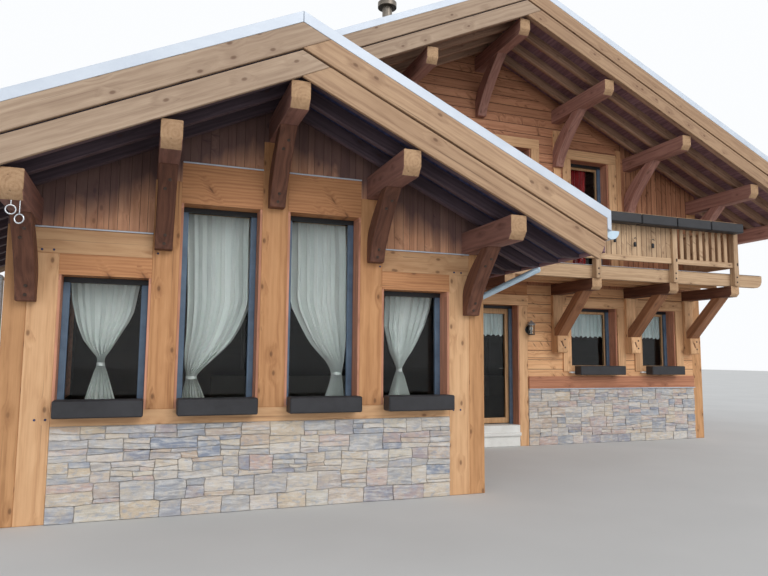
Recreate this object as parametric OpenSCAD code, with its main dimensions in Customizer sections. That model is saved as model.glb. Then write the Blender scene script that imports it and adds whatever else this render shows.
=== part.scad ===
// Timber chalet with a gabled front bay, a larger main house behind it and a balcony.
// Origin: on the ground, in the plane of the house front, below the ridge of the bay.
// +X runs to the right along the front, +Y into the house, +Z up. Millimetres.

/* [Roof] */
// Pitch of both roofs in degrees
roof_pitch = 25; // [20:0.5:30]
// Height of a rafter, measured plumb
rafter_h = 160; // [120:5:200]
// Width of a rafter
rafter_w = 80; // [60:5:110]
// Distance from one rafter to the next
rafter_pitch = 430; // [360:10:600]
// Thickness of the soffit boards, measured plumb
soffit_t = 30; // [20:2:40]
// Height of each of the two boards along a verge, measured plumb
verge_board_h = 257; // [220:1:280]
// Gap between the two boards along a verge
verge_gap = 10; // [6:1:16]
// Thickness of the boards along a verge
verge_board_t = 40; // [30:2:60]
// Height of the metal edge above the boards, measured plumb
verge_metal_h = 112; // [80:2:140]
// Thickness of the roof covering, measured plumb
cover_t = 24; // [16:2:40]
// Distance from one standing seam of the roof covering to the next
seam_pitch = 540; // [500:10:580]
// Gap kept between the two slopes along the ridge
ridge_gap = 4; // [2:1:10]
// Depth of the eave boards below the soffit, measured plumb
eave_lip = 25; // [10:1:60]

/* [Purlins and braces] */
// Width of a purlin
purlin_w = 190; // [160:5:220]
// Height of a purlin
purlin_h = 260; // [220:5:300]
// Height of the upright face at the end of a purlin
nose_h = 172; // [140:2:190]
// Depth of the slanted cut below that face
nose_cut = 70; // [40:5:110]
// Width of a brace
brace_w = 175; // [140:5:185]
// Height of a brace under the bay's purlins
bay_brace_h = 750; // [700:10:780]
// Reach of a brace under the bay's purlins
bay_brace_reach = 640; // [560:10:740]
// Height of a brace under the house's purlins
house_brace_h = 890; // [800:10:950]
// Reach of a brace under the house's purlins
house_brace_reach = 860; // [760:10:960]
// Depth of a brace at its foot
brace_foot = 105; // [80:5:130]

/* [Front bay] */
// Width over the corner posts
bay_w = 5160; // [4900:20:5400]
// Distance that the bay stands before the house
bay_d = 3480; // [3300:20:3700]
// Height of the bay's rafters at the ridge, on their underside
bay_ridge = 4265; // [4200:5:4330]
// Distance that the verge stands before the bay's front
bay_verge = 1188; // [1050:4:1300]
// Distance from the side walls out to the eaves
bay_eave_out = 910; // [770:10:1020]
// Reach of the purlins before the bay's front
bay_purlin_reach = 1150; // [1000:10:1250]
// Distance from the ridge to the middle purlins
bay_purlin_x = 1155; // [1140:5:1160]
// Distance from the face of the side walls in to the middle of the purlins on them
bay_plate_in = 200; // [180:5:220]
// Width of a window post
bay_post_w = 265; // [240:5:280]
// Distance from the ridge to the outer window posts
bay_post_x = 1125; // [1100:5:1150]
// Width of the middle post
centre_post_w = 286; // [250:2:300]
// Width of the outer plank of a corner post
corner_outer_w = 200; // [180:5:220]
// Width of the inner plank of a corner post
corner_inner_w = 265; // [230:5:280]
// Height of the lintel over a small window
small_lintel_h = 205; // [180:5:220]
// Height of the rail above that lintel
rail_h = 250; // [220:5:280]
// Gap between that rail and the purlins on the side walls
rail_gap = 15; // [5:1:30]
// Drop from the ridge to the head of the tall windows
tall_drop = 1070; // [1030:5:1110]
// Height of the lintel over a tall window
tall_lintel_h = 430; // [400:5:440]

/* [House] */
// Width over the corner posts
house_w = 10310; // [10200:10:10400]
// Depth between the front and the back
house_d = 8600; // [8200:50:9000]
// Distance from the bay's ridge to the house's ridge
house_ridge_x = 4450; // [4400:10:4500]
// Space between the two roofs, where the house's left slope lies over the bay's
roof_space = 299; // [260:1:340]
// Distance that the verge stands before the house's front
house_verge = 1680; // [1600:10:1750]
// Distance from the side walls out to the eaves
house_eave_out = 1445; // [1345:10:1545]
// Reach of the purlins before the house's front
house_purlin_reach = 1600; // [1500:10:1620]
// Distance from one inner purlin to the next
house_purlin_step = 1690; // [1650:5:1700]
// Distance from the face of the side walls in to the middle of the purlins on them
house_plate_in = 165; // [115:5:175]
// Distance from the side walls out to the middle of the purlins before them
house_outer_out = 1045; // [995:10:1095]
// Width of the corner posts
house_post_w = 240; // [200:5:280]

/* [Walls and floors] */
// Thickness of the walls
wall_t = 380; // [360:5:400]
// Level of the floor inside
floor_z = 380; // [350:5:400]
// Height of the stone base of the bay
bay_stone_h = 907; // [860:1:950]
// Height of the stone base of the house
house_stone_h = 1035; // [1000:5:1060]
// Height of the sill beam on the bay's stone base
sill_h = 150; // [130:5:170]
// Underside of the upper floor
upper_under = 2960; // [2920:5:2975]
// Thickness of the upper floor
upper_t = 240; // [220:5:245]
// Distance from the wall face back to the window frames
frame_setback = 250; // [200:5:260]

/* [Openings of the house] */
// Right edge of the terrace door
door_right = 5247; // [5200:5:5260]
// Width of the terrace door's opening
door_w = 1000; // [960:10:1020]
// Head of the terrace door and of the ground windows
door_head = 2575; // [2560:5:2590]
// Left edge of the first ground window
win1_left = 6381; // [6375:1:6400]
// Width of the first ground window
win1_w = 1094; // [1060:2:1100]
// Left edge of the second ground window
win2_left = 8066; // [8060:1:8080]
// Width of the second ground window
win2_w = 870; // [840:5:880]
// Sill of the ground windows
win_sill = 1350; // [1320:5:1400]
// Left edge of the balcony door
upper_door_left = 6451; // [6440:1:6460]
// Width of the balcony door's opening
upper_door_w = 914; // [880:2:930]
// Drop from the house's ridge to the head of the balcony door
upper_door_drop = 1775; // [1740:5:1820]
// Width of the window in the upper front
gable_win_w = 2200; // [2100:20:2240]
// Height of the sills of the back's upper windows over the upper floor
back_win_rise = 900; // [850:10:920]
// Height of the back's upper windows
back_win_h = 1200; // [1100:10:1210]
// Drop from the house's ridge to the head of that window
gable_win_drop = 1666; // [1640:2:1700]
// Height of that window
gable_win_h = 660; // [600:10:700]

/* [Balcony] */
// Distance from the house front to the face of the rim beam
balcony_d = 1176; // [1100:4:1240]
// Underside of the rim beam
rim_z = 2990; // [2980:5:3000]
// Height of the rim beam
rim_h = 235; // [220:5:240]
// Thickness of the rim beam
rim_t = 90; // [70:5:110]
// Right end of the balcony
balcony_right = 10010; // [9950:10:10050]
// Middle of the left bracket
bracket_1 = 6055; // [6040:5:6070]
// Middle of the next bracket
bracket_2 = 7760; // [7755:5:7775]
// Middle of the right bracket
bracket_3 = 9240; // [9230:5:9250]
// Width of the posts under the brackets
bracket_w = 220; // [200:5:230]
// Depth of the blocks at the foot of the brackets
bracket_d = 210; // [180:5:230]
// Foot of the brackets
bracket_foot = 1700; // [1660:5:1740]
// Left end of the balcony
balcony_left = 4220; // [4180:5:4240]
// Height of the beams that carry the balcony
beam_h = 200; // [180:5:220]
// Thickness of the balcony's deck
deck_t = 35; // [28:1:45]
// Top of the balcony's rail
rail_top = 4200; // [4150:5:4250]
// Width of a balcony post
rail_post_w = 110; // [90:5:130]

/* [Windows and shutters] */
// Width of the wood round a pane in the bay
bay_frame_b = 62; // [58:1:80]
// Width of the wood round a pane in the house
house_frame_b = 110; // [90:2:120]
// Height of the wood over a pane in the bay
bay_frame_head = 50; // [45:1:80]
// Height of the wood over a pane in the house
house_frame_head = 100; // [60:2:120]
// Depth of the frames
frame_t = 70; // [60:2:80]
// Height of the slat of a roller shutter that hangs before the head of an opening
shutter_h = 55; // [40:1:120]
// Width of the guides of a roller shutter
guide_w = 65; // [50:1:80]
// Distance from the sides of an opening to those guides
guide_in = 25; // [10:1:35]
// Width of the boards round an opening of the house
casing_w = 182; // [160:2:190]
// Height of the board over an opening of the house
casing_h = 190; // [170:5:200]

/* [Terrace door] */
// Clearance round the door leaf
leaf_gap = 8; // [7:0.5:10]
// Width of the wood round the door's glass
leaf_b = 96; // [80:2:110]
// Thickness of the door leaf
leaf_t = 60; // [50:2:60]

/* [Hidden] */
TAN = tan(roof_pitch);
SQUARE = sin(roof_pitch) * cos(roof_pitch);
CUT = 50;
seat = 0.3;
panel_z = rafter_h + soffit_t;
edge_z = 2 * verge_board_h + verge_gap;
top_z = edge_z + verge_metal_h;
cover_z = top_z - cover_t;
bay_half = bay_w / 2;
bay_eave = bay_half + bay_eave_out;
bay_plate_x = bay_half - bay_plate_in;
bay_front = -bay_d;
bay_in = bay_half - wall_t;
bay_verge_y = bay_front - bay_verge;
sill_top = bay_stone_h + sill_h;
post_top = bay_ridge + purlin_top(bay_plate_x) - purlin_h;
rail_top_z = post_top - rail_gap;
rail_z = rail_top_z - rail_h;
small_head = rail_z - small_lintel_h;
tall_head = bay_ridge - tall_drop;
tall_lintel_top = tall_head + tall_lintel_h;
plank_seam = bay_half - corner_outer_w;
jamb_edge = plank_seam - corner_inner_w;
outer_post_edge = bay_post_x + bay_post_w / 2;
inner_post_edge = bay_post_x - bay_post_w / 2;
centre_edge = centre_post_w / 2;
house_ridge = bay_ridge + top_z + roof_space + fall(house_ridge_x);
house_half = house_w / 2;
house_eave = house_half + house_eave_out;
house_plate_x = house_half - house_plate_in;
house_outer_x = house_half + house_outer_out;
house_left = house_ridge_x - house_half;
house_right = house_ridge_x + house_half;
house_in = house_half - wall_t;
house_in_left = house_left + wall_t;
house_in_right = house_right - wall_t;
house_back_in = house_d - wall_t;
house_verge_back = house_d + house_verge;
house_plate_z = house_ridge + purlin_top(house_plate_x) - purlin_h;
arm_z = house_ridge + purlin_top(house_outer_x) - purlin_h;
arm_h = 200;
arm_count = 4;
bay_purlins = [-bay_plate_x, -bay_purlin_x, 0, bay_purlin_x, bay_plate_x];
inner_purlins = [for (i = [-2:2]) i * house_purlin_step];
door_left = door_right - door_w;
door_post_left = door_left - casing_w;
door_post_right = door_right + casing_w;
upper_z = upper_under + upper_t;
upper_door_head = house_ridge - upper_door_drop;
gable_win_head = house_ridge - gable_win_drop;
back_win_sill = upper_z + back_win_rise;
back_win_head = back_win_sill + back_win_h;
eave_board_t = 40;
verge_tip = 15;
metal_t = 8;
metal_fold = 120;
cover_drip = 55;
seam_w = 24;
seam_h = 28;
seam_end = 12;
frame_step = 14;
frame_lip = 40;
glass_t = 24;
guide_d = 45;
casing_t = 28;
skirt_h = 225;
skirt_t = 36;
drip_t = 14;
drip_out = 20;
sill_t = 30;
sill_out = 40;
sill_side = 60;
roof_joint = 60;
gutter_r = 98;
gutter_t = 5;
gutter_sink = 130;
pipe_r = 40;
pipe_collar = 4;
pipe_clear = skirt_t + drip_out + 2 * pipe_collar;
pipe_fall = 0.47;
bay_pipe_drop = 164;
bay_gutter_z = bay_ridge + edge_z - fall(bay_eave) - gutter_sink;
house_gutter_z = house_ridge + edge_z - fall(house_eave) - gutter_sink;
bay_rafters = [bay_verge_y + verge_board_t, -wall_t];
house_rafters = [-house_verge + verge_board_t, house_verge_back - verge_board_t];
bay_pipe_y = bar_gap_y(bay_rafters, rafter_w, rafter_pitch, 3);
house_pipe_y = bar_gap_y(house_rafters, rafter_w, rafter_pitch, 22);
beam_w = 200;
beam_tip = 60;
beam_nose = 145;
beam_xs = [balcony_left + beam_w / 2, bracket_1, bracket_2, bracket_3];
beam_z = rim_z - beam_h;
rim_front = -balcony_d;
rim_nose = 150;
block_h = 320;
block_chamfer = 20;
bracket_back = 90;
balcony_brace_t = 225;
balcony_brace_reach = 985;
post_d = 120;
deck_top = rim_z + rim_h - 10;
joist_w = 80;
joist_ys = [-320, -720];
low_rail_z = rim_z + rim_h + 110;
low_rail_h = 95;
low_rail_t = 50;
low_rail_back = 30;
top_rail_h = 90;
board_t = 26;
board_back = 42;
baluster_w = 75;
baluster_count = 8;
box_d = 200;
box_h = 170;
box_sink = 60;
box_side = 25;
planter_count = 4;
planter_gap = 20;
lamp_side = 200;
lamp_z = 2137;
lamp_out = 80;
lamp_plate_t = 14;
lamp_arm = 20;
lamp_r = 65;
flue_x = 2880;
flue_y = bar_gap_y(house_rafters, seam_w, seam_pitch, 4);
flue_r = 95;
flue_cap_r = 182;
flue_cap_z = 8350;
threshold_step = 190;
threshold_nose = 250;
threshold_out = 45;
door_frame_b = 46;
door_y = frame_setback;
leaf_x = door_left + door_frame_b + leaf_gap;
leaf_w = door_w - 2 * door_frame_b - 2 * leaf_gap;
leaf_z = floor_z + 20;
leaf_h = door_head - door_frame_b - leaf_gap - leaf_z;
leaf_y = door_y + frame_t - leaf_t;
knuckle_r = 8;
knuckle_h = 60;
hinge_x = leaf_x - leaf_gap / 2;
hinge_y = door_y + frame_t + knuckle_r;
knuckle_zs = [leaf_z + 180, leaf_z + leaf_h / 2, leaf_z + leaf_h - 300];
handle_z = leaf_z + 1000;
white = "#eceff1";
larch = "#c98f55";
stain = "#7a4a32";
zinc = "#c9d3da";
iron = "#3a4048";
rubble = "#a39a8b";

// Drop of a roof at a distance from its ridge
function fall(d) = d * TAN;
// Top of a purlin that lies under the rafters at a distance from the ridge
function purlin_top(d) = -fall(abs(d) + purlin_w / 2) - seat;
// Bars in a row from a front to a back: the spaces between them, their step and the middle of one space
function bar_spaces(span, w, pitch) = round((span[1] - span[0] - w) / pitch);
function bar_step(span, w, pitch) = (span[1] - span[0] - w) / bar_spaces(span, w, pitch);
function bar_gap_y(span, w, pitch, i) = span[0] + w / 2 + (i + 0.5) * bar_step(span, w, pitch);

// Openings as [left edge, sill, width, head, wood round the pane, wood over it] on the wall that holds them
small_w = jamb_edge - outer_post_edge;
tall_w = inner_post_edge - centre_edge;
bay_wood = [bay_frame_b, bay_frame_head];
house_wood = [house_frame_b, house_frame_head];
bay_openings = [
    concat([-jamb_edge, sill_top, small_w, small_head], bay_wood),
    concat([-inner_post_edge, sill_top, tall_w, tall_head], bay_wood),
    concat([centre_edge, sill_top, tall_w, tall_head], bay_wood),
    concat([outer_post_edge, sill_top, small_w, small_head], bay_wood)];
bay_side_openings = [for (i = [1, 2])
    concat([bay_d * (i / 3) - small_w / 2, sill_top, small_w, small_head], bay_wood)];
front_openings = [
    concat([win1_left, win_sill, win1_w, door_head], house_wood),
    concat([win2_left, win_sill, win2_w, door_head], house_wood)];
upper_openings = [
    concat([upper_door_left, upper_z, upper_door_w, upper_door_head], house_wood),
    concat([house_ridge_x - gable_win_w / 2, gable_win_head - gable_win_h, gable_win_w, gable_win_head], house_wood)];
side_openings = [for (i = [1, 3])
    concat([house_d * i / 4 - win2_w / 2, win_sill, win2_w, door_head], house_wood)];
back_openings = concat(
    [for (i = [1:3]) concat([house_w * i / 4 - win1_w / 2, win_sill, win1_w, door_head], house_wood)],
    [for (i = [-1, 1])
        concat([house_half + (i * house_purlin_step - win2_w) / 2, back_win_sill, win2_w, back_win_head],
            house_wood)]);

// A piece drawn for the right-hand slope, on both slopes
module both_slopes() {
    children();
    mirror([1, 0, 0]) children();
}

module at_bay() {
    translate([0, 0, bay_ridge]) both_slopes() children();
}

module at_house() {
    translate([house_ridge_x, 0, house_ridge]) both_slopes() children();
}

module on_both_sides_of_house() {
    translate([house_ridge_x, 0, 0]) both_slopes() children();
}

// An outline in the XZ plane, from one y to another
module along_y(front, back) {
    translate([0, back, 0]) rotate([90, 0, 0]) linear_extrude(back - front) children();
}

// An outline in the YZ plane, centred on x = 0
module along_x(w) {
    translate([-w / 2, 0, 0]) rotate([90, 0, 90]) linear_extrude(w) children();
}

module box(x0, x1, y0, y1, z0, z1) {
    translate([x0, y0, z0]) cube([x1 - x0, y1 - y0, z1 - z0]);
}

// A layer of the right-hand slope between two plumb heights, with its lower end cut back
module layer(d0, d1, low, high, front, back, cut = 0) {
    top = high - seat;
    along_y(front, back)
        polygon([[d0, low - fall(d0)], [d1 - cut, low - fall(d1 - cut)], [d1, top - fall(d1)], [d0, top - fall(d0)]]);
}

// A wall's outline under the soffit, from x0 to x1 right of the ridge
module under_soffit(x0, x1, z0, ridge) {
    top = rafter_h - seat;
    polygon([[x0, z0 - ridge], [x1, z0 - ridge], [x1, top - fall(x1)], [x0, top - fall(x0)]]);
}

// A gable's outline under the soffit, as far as x1 to both sides
module under_gable(x1, z0, ridge) {
    top = rafter_h - seat;
    polygon([[-x1, z0 - ridge], [x1, z0 - ridge], [x1, top - fall(x1)], [0, top], [-x1, top - fall(x1)]]);
}

// Frames of the walls that aren't in front: x along the wall seen from outside, y into it
module on_bay_left() {
    translate([-bay_half, 0, 0]) rotate([0, 0, -90]) children();
}

module on_right_wall() {
    translate([house_right, 0, 0]) rotate([0, 0, 90]) children();
}

module on_left_wall() {
    translate([house_left, house_d, 0]) rotate([0, 0, -90]) children();
}

module on_back_wall() {
    translate([house_right, house_d, 0]) rotate([0, 0, 180]) children();
}

// The place and size of an opening, for the pieces that fill it
module fit(o) {
    $w = o[2];
    $h = o[3] - o[1];
    $b = o[4];
    $t = o[5];
    translate([o[0], 0, o[1]]) children();
}

// An opening wider than this has two lights
module lights(o) {
    n = o[2] > 1500 ? 2 : 1;
    for (i = [0:n - 1]) fit([o[0] + i * o[2] / n, o[1], o[2] / n, o[3], o[4], o[5]]) children();
}

module in_bay_windows() {
    translate([0, bay_front, 0]) for (o = bay_openings) lights(o) children();
    on_bay_left() for (o = bay_side_openings) lights(o) children();
}

// Each window and door opening of the house, but for the terrace door
module in_house_openings() {
    for (o = front_openings) fit(o) children();
    for (o = upper_openings) fit(o) children();
    on_right_wall() for (o = side_openings) fit(o) children();
    on_left_wall() for (o = side_openings) fit(o) children();
    on_back_wall() for (o = back_openings) fit(o) children();
}

module in_house_windows() {
    in_house_openings() lights([0, 0, $w, $h, $b, $t]) children();
}

module in_all_windows() {
    in_bay_windows() children();
    in_house_windows() children();
}

module cut_openings(list) {
    for (o = list) fit(o) translate([0, -CUT, 0]) cube([$w, wall_t + 2 * CUT, $h]);
}

module ring(w, h, border, head, t) {
    difference() {
        cube([w, t, h]);
        translate([border, -CUT, border]) cube([w - 2 * border, t + 2 * CUT, h - border - head]);
    }
}

// Floors
module bay_floor() {
    color("silver") box(-bay_in, bay_in, bay_front + wall_t, -wall_t, 0, floor_z);
}

module house_floor() {
    color("silver") {
        box(house_in_left, bay_in, -wall_t, wall_t, 0, floor_z);
        box(house_in_left, house_in_right, wall_t, house_back_in, 0, floor_z);
    }
}

module upper_floor() {
    color(larch) box(house_in_left, house_in_right, wall_t, house_back_in, upper_under, upper_z);
}

// Stone base
module gable_stone() {
    color(rubble) {
        box(-jamb_edge, jamb_edge, bay_front, bay_front + wall_t, 0, bay_stone_h);
        box(-bay_in, house_in_left, -wall_t, 0, 0, bay_stone_h);
        box(bay_in, door_post_left, 0, wall_t, 0, house_stone_h);
        box(door_post_right, house_right - house_post_w, 0, wall_t, 0, house_stone_h);
        box(house_left + house_post_w, house_right - house_post_w, house_back_in, house_d, 0, house_stone_h);
    }
}

module side_stone() {
    color(rubble) {
        both_slopes() box(bay_in, bay_half, bay_front + wall_t, 0, 0, bay_stone_h);
        on_both_sides_of_house() box(house_in, house_half, wall_t, house_back_in, 0, house_stone_h);
    }
}

// Timber frame
module sill_beam() {
    color(larch) box(-jamb_edge, jamb_edge, bay_front, bay_front + wall_t, bay_stone_h, sill_top);
}

module corner_posts() {
    color(larch) {
        both_slopes() box(plank_seam, bay_half, bay_front, bay_front + wall_t, 0, post_top);
        on_both_sides_of_house() {
            box(house_half - house_post_w, house_half, 0, wall_t, 0, house_plate_z);
            box(house_half - house_post_w, house_half, house_back_in, house_d, 0, house_plate_z);
        }
    }
}

module jamb_posts() {
    color(larch) {
        both_slopes() box(jamb_edge, plank_seam, bay_front, bay_front + wall_t, 0, rail_z);
        box(door_post_left, door_left, 0, wall_t, 0, door_head);
        box(door_right, door_post_right, 0, wall_t, 0, door_head);
    }
}

module window_posts() {
    color(larch) {
        both_slopes()
            box(inner_post_edge, outer_post_edge, bay_front, bay_front + wall_t, sill_top,
                bay_ridge + purlin_top(bay_purlin_x) - purlin_h);
        box(-centre_edge, centre_edge, bay_front, bay_front + wall_t, sill_top,
            bay_ridge + purlin_top(0) - purlin_h);
    }
}

module lintels() {
    color(larch) {
        both_slopes() {
            box(outer_post_edge, jamb_edge, bay_front, bay_front + wall_t, small_head, rail_z);
            box(centre_edge, inner_post_edge, bay_front, bay_front + wall_t, tall_head, tall_lintel_top);
        }
        box(house_in_left, bay_in, 0, wall_t, door_head, upper_under);
        box(door_post_left, door_post_right, 0, wall_t, door_head, upper_under);
    }
}

module bay_rails() {
    color(larch) both_slopes()
        box(outer_post_edge, plank_seam, bay_front, bay_front + wall_t, rail_z, rail_top_z);
}

// Walls under the roof, with pockets for the purlins and rafters
module bay_gable_boards() {
    color(larch) difference() {
        along_y(bay_front, bay_front + wall_t) translate([0, bay_ridge])
            under_gable(bay_half, rail_top_z, bay_ridge);
        corner_posts();
        window_posts();
        both_slopes()
            box(centre_edge, inner_post_edge, bay_front - CUT, bay_front + wall_t + CUT,
                rail_top_z - CUT, tall_lintel_top);
        purlins();
        rafters();
    }
}

module front_walls() {
    color(larch) difference() {
        union() {
            box(house_left + house_post_w, house_in_left, 0, wall_t, 0, upper_under);
            box(bay_in, door_post_left, 0, wall_t, house_stone_h, upper_under);
            box(door_post_right, house_right - house_post_w, 0, wall_t, house_stone_h, upper_under);
        }
        cut_openings(front_openings);
    }
}

module gable_plate(front, back) {
    along_y(front, back) translate([house_ridge_x, house_ridge])
        under_gable(house_half, upper_under, house_ridge);
}

module house_gable() {
    color(larch) difference() {
        gable_plate(0, wall_t);
        cut_openings(upper_openings);
        corner_posts();
        purlins();
        rafters();
    }
}

module side_walls() {
    color(larch) difference() {
        union() {
            at_bay() along_y(bay_front + wall_t, 0) under_soffit(bay_in, bay_half, bay_stone_h, bay_ridge);
            at_house() along_y(wall_t, house_back_in) under_soffit(house_in, house_half, house_stone_h, house_ridge);
        }
        on_bay_left() cut_openings(bay_side_openings);
        on_right_wall() cut_openings(side_openings);
        on_left_wall() cut_openings(side_openings);
        purlins();
        rafters();
    }
}

module back_walls() {
    color(larch) difference() {
        union() {
            translate([0, 0, bay_ridge]) mirror([1, 0, 0]) along_y(-wall_t, 0)
                under_soffit(-house_in_left, bay_in, bay_stone_h, bay_ridge);
            gable_plate(house_back_in, house_d);
            box(house_left + house_post_w, house_right - house_post_w, house_back_in, house_d,
                house_stone_h, upper_under);
        }
        on_back_wall() cut_openings(back_openings);
        corner_posts();
        purlins();
        rafters();
    }
}

// Boards on the wall face beside and over an opening
module casing(w, h) {
    for (x = [-casing_w, w]) translate([x, -casing_t, 0]) cube([casing_w, casing_t, h - seat]);
    translate([-casing_w, -casing_t, h]) cube([w + 2 * casing_w, casing_t, casing_h]);
}

module casings() {
    color(larch) difference() {
        union() {
            in_house_openings() casing($w, $h);
            box(door_post_left, door_post_right, -casing_t, 0, door_head, door_head + casing_h);
        }
        balcony_brackets();
    }
}

module band(z0, z1, out) {
    box(door_post_right, house_right - house_post_w, -out, 0, z0, z1);
    box(bay_half, door_post_left, -out, 0, z0, z1);
    on_right_wall() box(wall_t, house_back_in, -out, 0, z0, z1);
    on_left_wall() box(wall_t, house_back_in, -out, 0, z0, z1);
    on_back_wall() box(house_post_w, house_w - house_post_w, -out, 0, z0, z1);
}

module skirt_boards() {
    color(stain) band(house_stone_h, house_stone_h + skirt_h, skirt_t);
}

// Metal strips that throw water off the stone and the bay's rails
module drip_strips() {
    color(zinc) {
        band(house_stone_h - drip_t, house_stone_h, skirt_t + drip_out);
        both_slopes() {
            box(outer_post_edge, plank_seam, bay_front - drip_out, bay_front, rail_top_z, rail_top_z + drip_t);
            box(centre_edge, inner_post_edge, bay_front - drip_out, bay_front,
                tall_lintel_top, tall_lintel_top + drip_t);
        }
    }
}

// A frame whose wood steps back round the pane
module window_frame(w, h, border, head) {
    difference() {
        ring(w, h, border, head, frame_t);
        translate([frame_lip, -CUT, frame_lip]) cube([w - 2 * frame_lip, CUT + frame_step, h - 2 * frame_lip]);
    }
}

module window_frames() {
    color(larch) in_all_windows()
        translate([0, frame_setback, 0]) window_frame($w, $h, $b, $t);
}

module window_glass() {
    color("lightblue", 0.4) in_all_windows()
        translate([$b, frame_setback + (frame_t - glass_t) / 2, $b])
            cube([$w - 2 * $b, glass_t, $h - $b - $t]);
}

// The slat of a raised roller shutter before the head of a frame, and its two guides
module shutter(w, h) {
    translate([0, frame_setback - guide_d, h - shutter_h]) cube([w, guide_d, shutter_h]);
    for (x = [guide_in, w - guide_in - guide_w])
        translate([x, frame_setback - guide_d, 0]) cube([guide_w, guide_d, h - shutter_h - seat]);
}

module shutter_boxes() {
    color(iron) {
        in_all_windows() shutter($w, $h);
        translate([door_left, 0, floor_z]) shutter(door_w, door_head - floor_z);
    }
}

module window_sill(w) {
    out = casing_t + sill_out;
    translate([-sill_side, -out, -sill_t]) cube([w + 2 * sill_side, out, sill_t]);
}

module window_sills() {
    color(white) {
        for (o = front_openings) fit(o) window_sill($w);
        on_right_wall() for (o = side_openings) fit(o) window_sill($w);
        on_left_wall() for (o = side_openings) fit(o) window_sill($w);
        on_back_wall() for (o = back_openings) fit(o) window_sill($w);
    }
}

// A purlin's side view; an end that shows is cut back below its upright face
module purlin(front, back, back_nose = true) {
    end = back_nose ? [[back - nose_cut, -purlin_h], [back, -nose_h], [back, 0]] : [[back, -purlin_h], [back, 0]];
    along_x(purlin_w)
        polygon(concat([[front, 0], [front, -nose_h], [front + nose_cut, -purlin_h]], end));
}

module at_bay_purlin(d) {
    translate([d, 0, bay_ridge + purlin_top(d)]) children();
}

module at_house_purlin(d) {
    translate([house_ridge_x + d, 0, house_ridge + purlin_top(d)]) children();
}

module purlins() {
    back = house_d + house_purlin_reach;
    color(larch) {
        for (d = bay_purlins) at_bay_purlin(d) purlin(bay_front - bay_purlin_reach, 0, false);
        for (d = concat(inner_purlins, [house_plate_x, house_outer_x]))
            at_house_purlin(d) purlin(-house_purlin_reach, back);
        at_house_purlin(-house_plate_x) purlin(0, back);
        at_house_purlin(-house_outer_x) purlin(roof_joint, back);
    }
}

// A sawn brace: upright at its foot on the wall, it curves out to the beam above
module brace(h, reach) {
    steps = 12;
    spring = 0.33;
    outer = [for (i = [0:steps]) let (t = i / steps) [-brace_foot - (reach - brace_foot) * pow(t, 1.4), -h + h * t]];
    inner = [for (i = [0:steps]) let (t = 1 - i / steps) [-0.74 * reach * pow(t, 1.6), -h * (1 - spring) * (1 - t)]];
    along_x(brace_w) polygon(concat([[0, -h]], outer, inner));
}

module house_brace() {
    brace(house_brace_h, house_brace_reach);
}

module arm_places() {
    first = wall_t / 2;
    step = (house_d - wall_t) / (arm_count - 1);
    on_both_sides_of_house() for (i = [0:arm_count - 1])
        translate([house_half, first + i * step, arm_z]) rotate([0, 0, 90]) children();
}

// Arms that carry the outer purlins before the side walls
module eave_arms() {
    reach = house_outer_x + purlin_w / 2 - house_half;
    color(larch) arm_places() along_x(brace_w)
        polygon([[0, 0], [-reach - nose_cut, 0], [-reach - nose_cut, -arm_h / 2], [-reach, -arm_h], [0, -arm_h]]);
}

module braces() {
    color(stain) {
        for (d = bay_purlins)
            at_bay_purlin(d) translate([0, bay_front, -purlin_h]) brace(bay_brace_h, bay_brace_reach);
        for (d = concat(inner_purlins, [house_plate_x]))
            at_house_purlin(d) translate([0, 0, -purlin_h]) house_brace();
        for (d = concat(inner_purlins, [-house_plate_x, house_plate_x]))
            at_house_purlin(d) translate([0, house_d, -purlin_h]) mirror([0, 1, 0]) house_brace();
        arm_places() translate([0, 0, -arm_h]) house_brace();
    }
}

// Rafters from front to back, the outermost ones against the verge boards, with level cuts under their tails
module slope_rafters(eave, span) {
    d0 = ridge_gap / 2;
    d1 = eave - eave_board_t;
    tail = rafter_h - eave_lip - fall(eave);
    top = rafter_h - seat;
    for (i = [0:bar_spaces(span, rafter_w, rafter_pitch)]) {
        y = span[0] + i * bar_step(span, rafter_w, rafter_pitch);
        along_y(y, y + rafter_w)
            polygon([[d0, -fall(d0)], [-tail / TAN, tail], [d1, tail], [d1, top - fall(d1)], [d0, top - fall(d0)]]);
    }
}

module rafters() {
    color(stain) {
        at_bay() slope_rafters(bay_eave, bay_rafters);
        at_house() slope_rafters(house_eave, house_rafters);
    }
}

// A layer over both roofs, which ends at a distance before or past the eaves
module roof_layer(low, high, past_eave) {
    at_bay() layer(ridge_gap / 2, bay_eave + past_eave, low, high, bay_verge_y + verge_board_t, 0);
    at_house() layer(ridge_gap / 2, house_eave + past_eave, low, high, house_rafters[0], house_rafters[1]);
}

module soffit() {
    color(stain) roof_layer(rafter_h, panel_z, -eave_board_t);
}

module roof_panels() {
    color(larch) roof_layer(panel_z, cover_z, -eave_board_t);
}

// Standing seams that run down a slope, inside its two edges
module seams(eave, span) {
    for (i = [1:bar_spaces(span, seam_w, seam_pitch) - 1]) {
        y = span[0] + i * bar_step(span, seam_w, seam_pitch);
        layer(seam_end, eave + cover_drip - seam_end, cover_z + cover_t / 2, top_z + seam_h, y, y + seam_w);
    }
}

module roof_covering() {
    color("dimgray") {
        roof_layer(cover_z, top_z, cover_drip);
        at_bay() seams(bay_eave, bay_rafters);
        at_house() seams(house_eave, house_rafters);
    }
}

// The two boards on each slope, the lower one cut square at its foot
module verge_pair(eave, front, d0 = ridge_gap / 2) {
    back = front + verge_board_t;
    layer(d0, eave - verge_tip, 0, verge_board_h, front, back, verge_board_h * SQUARE);
    layer(d0, eave, verge_board_h + verge_gap, edge_z, front, back);
}

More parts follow.
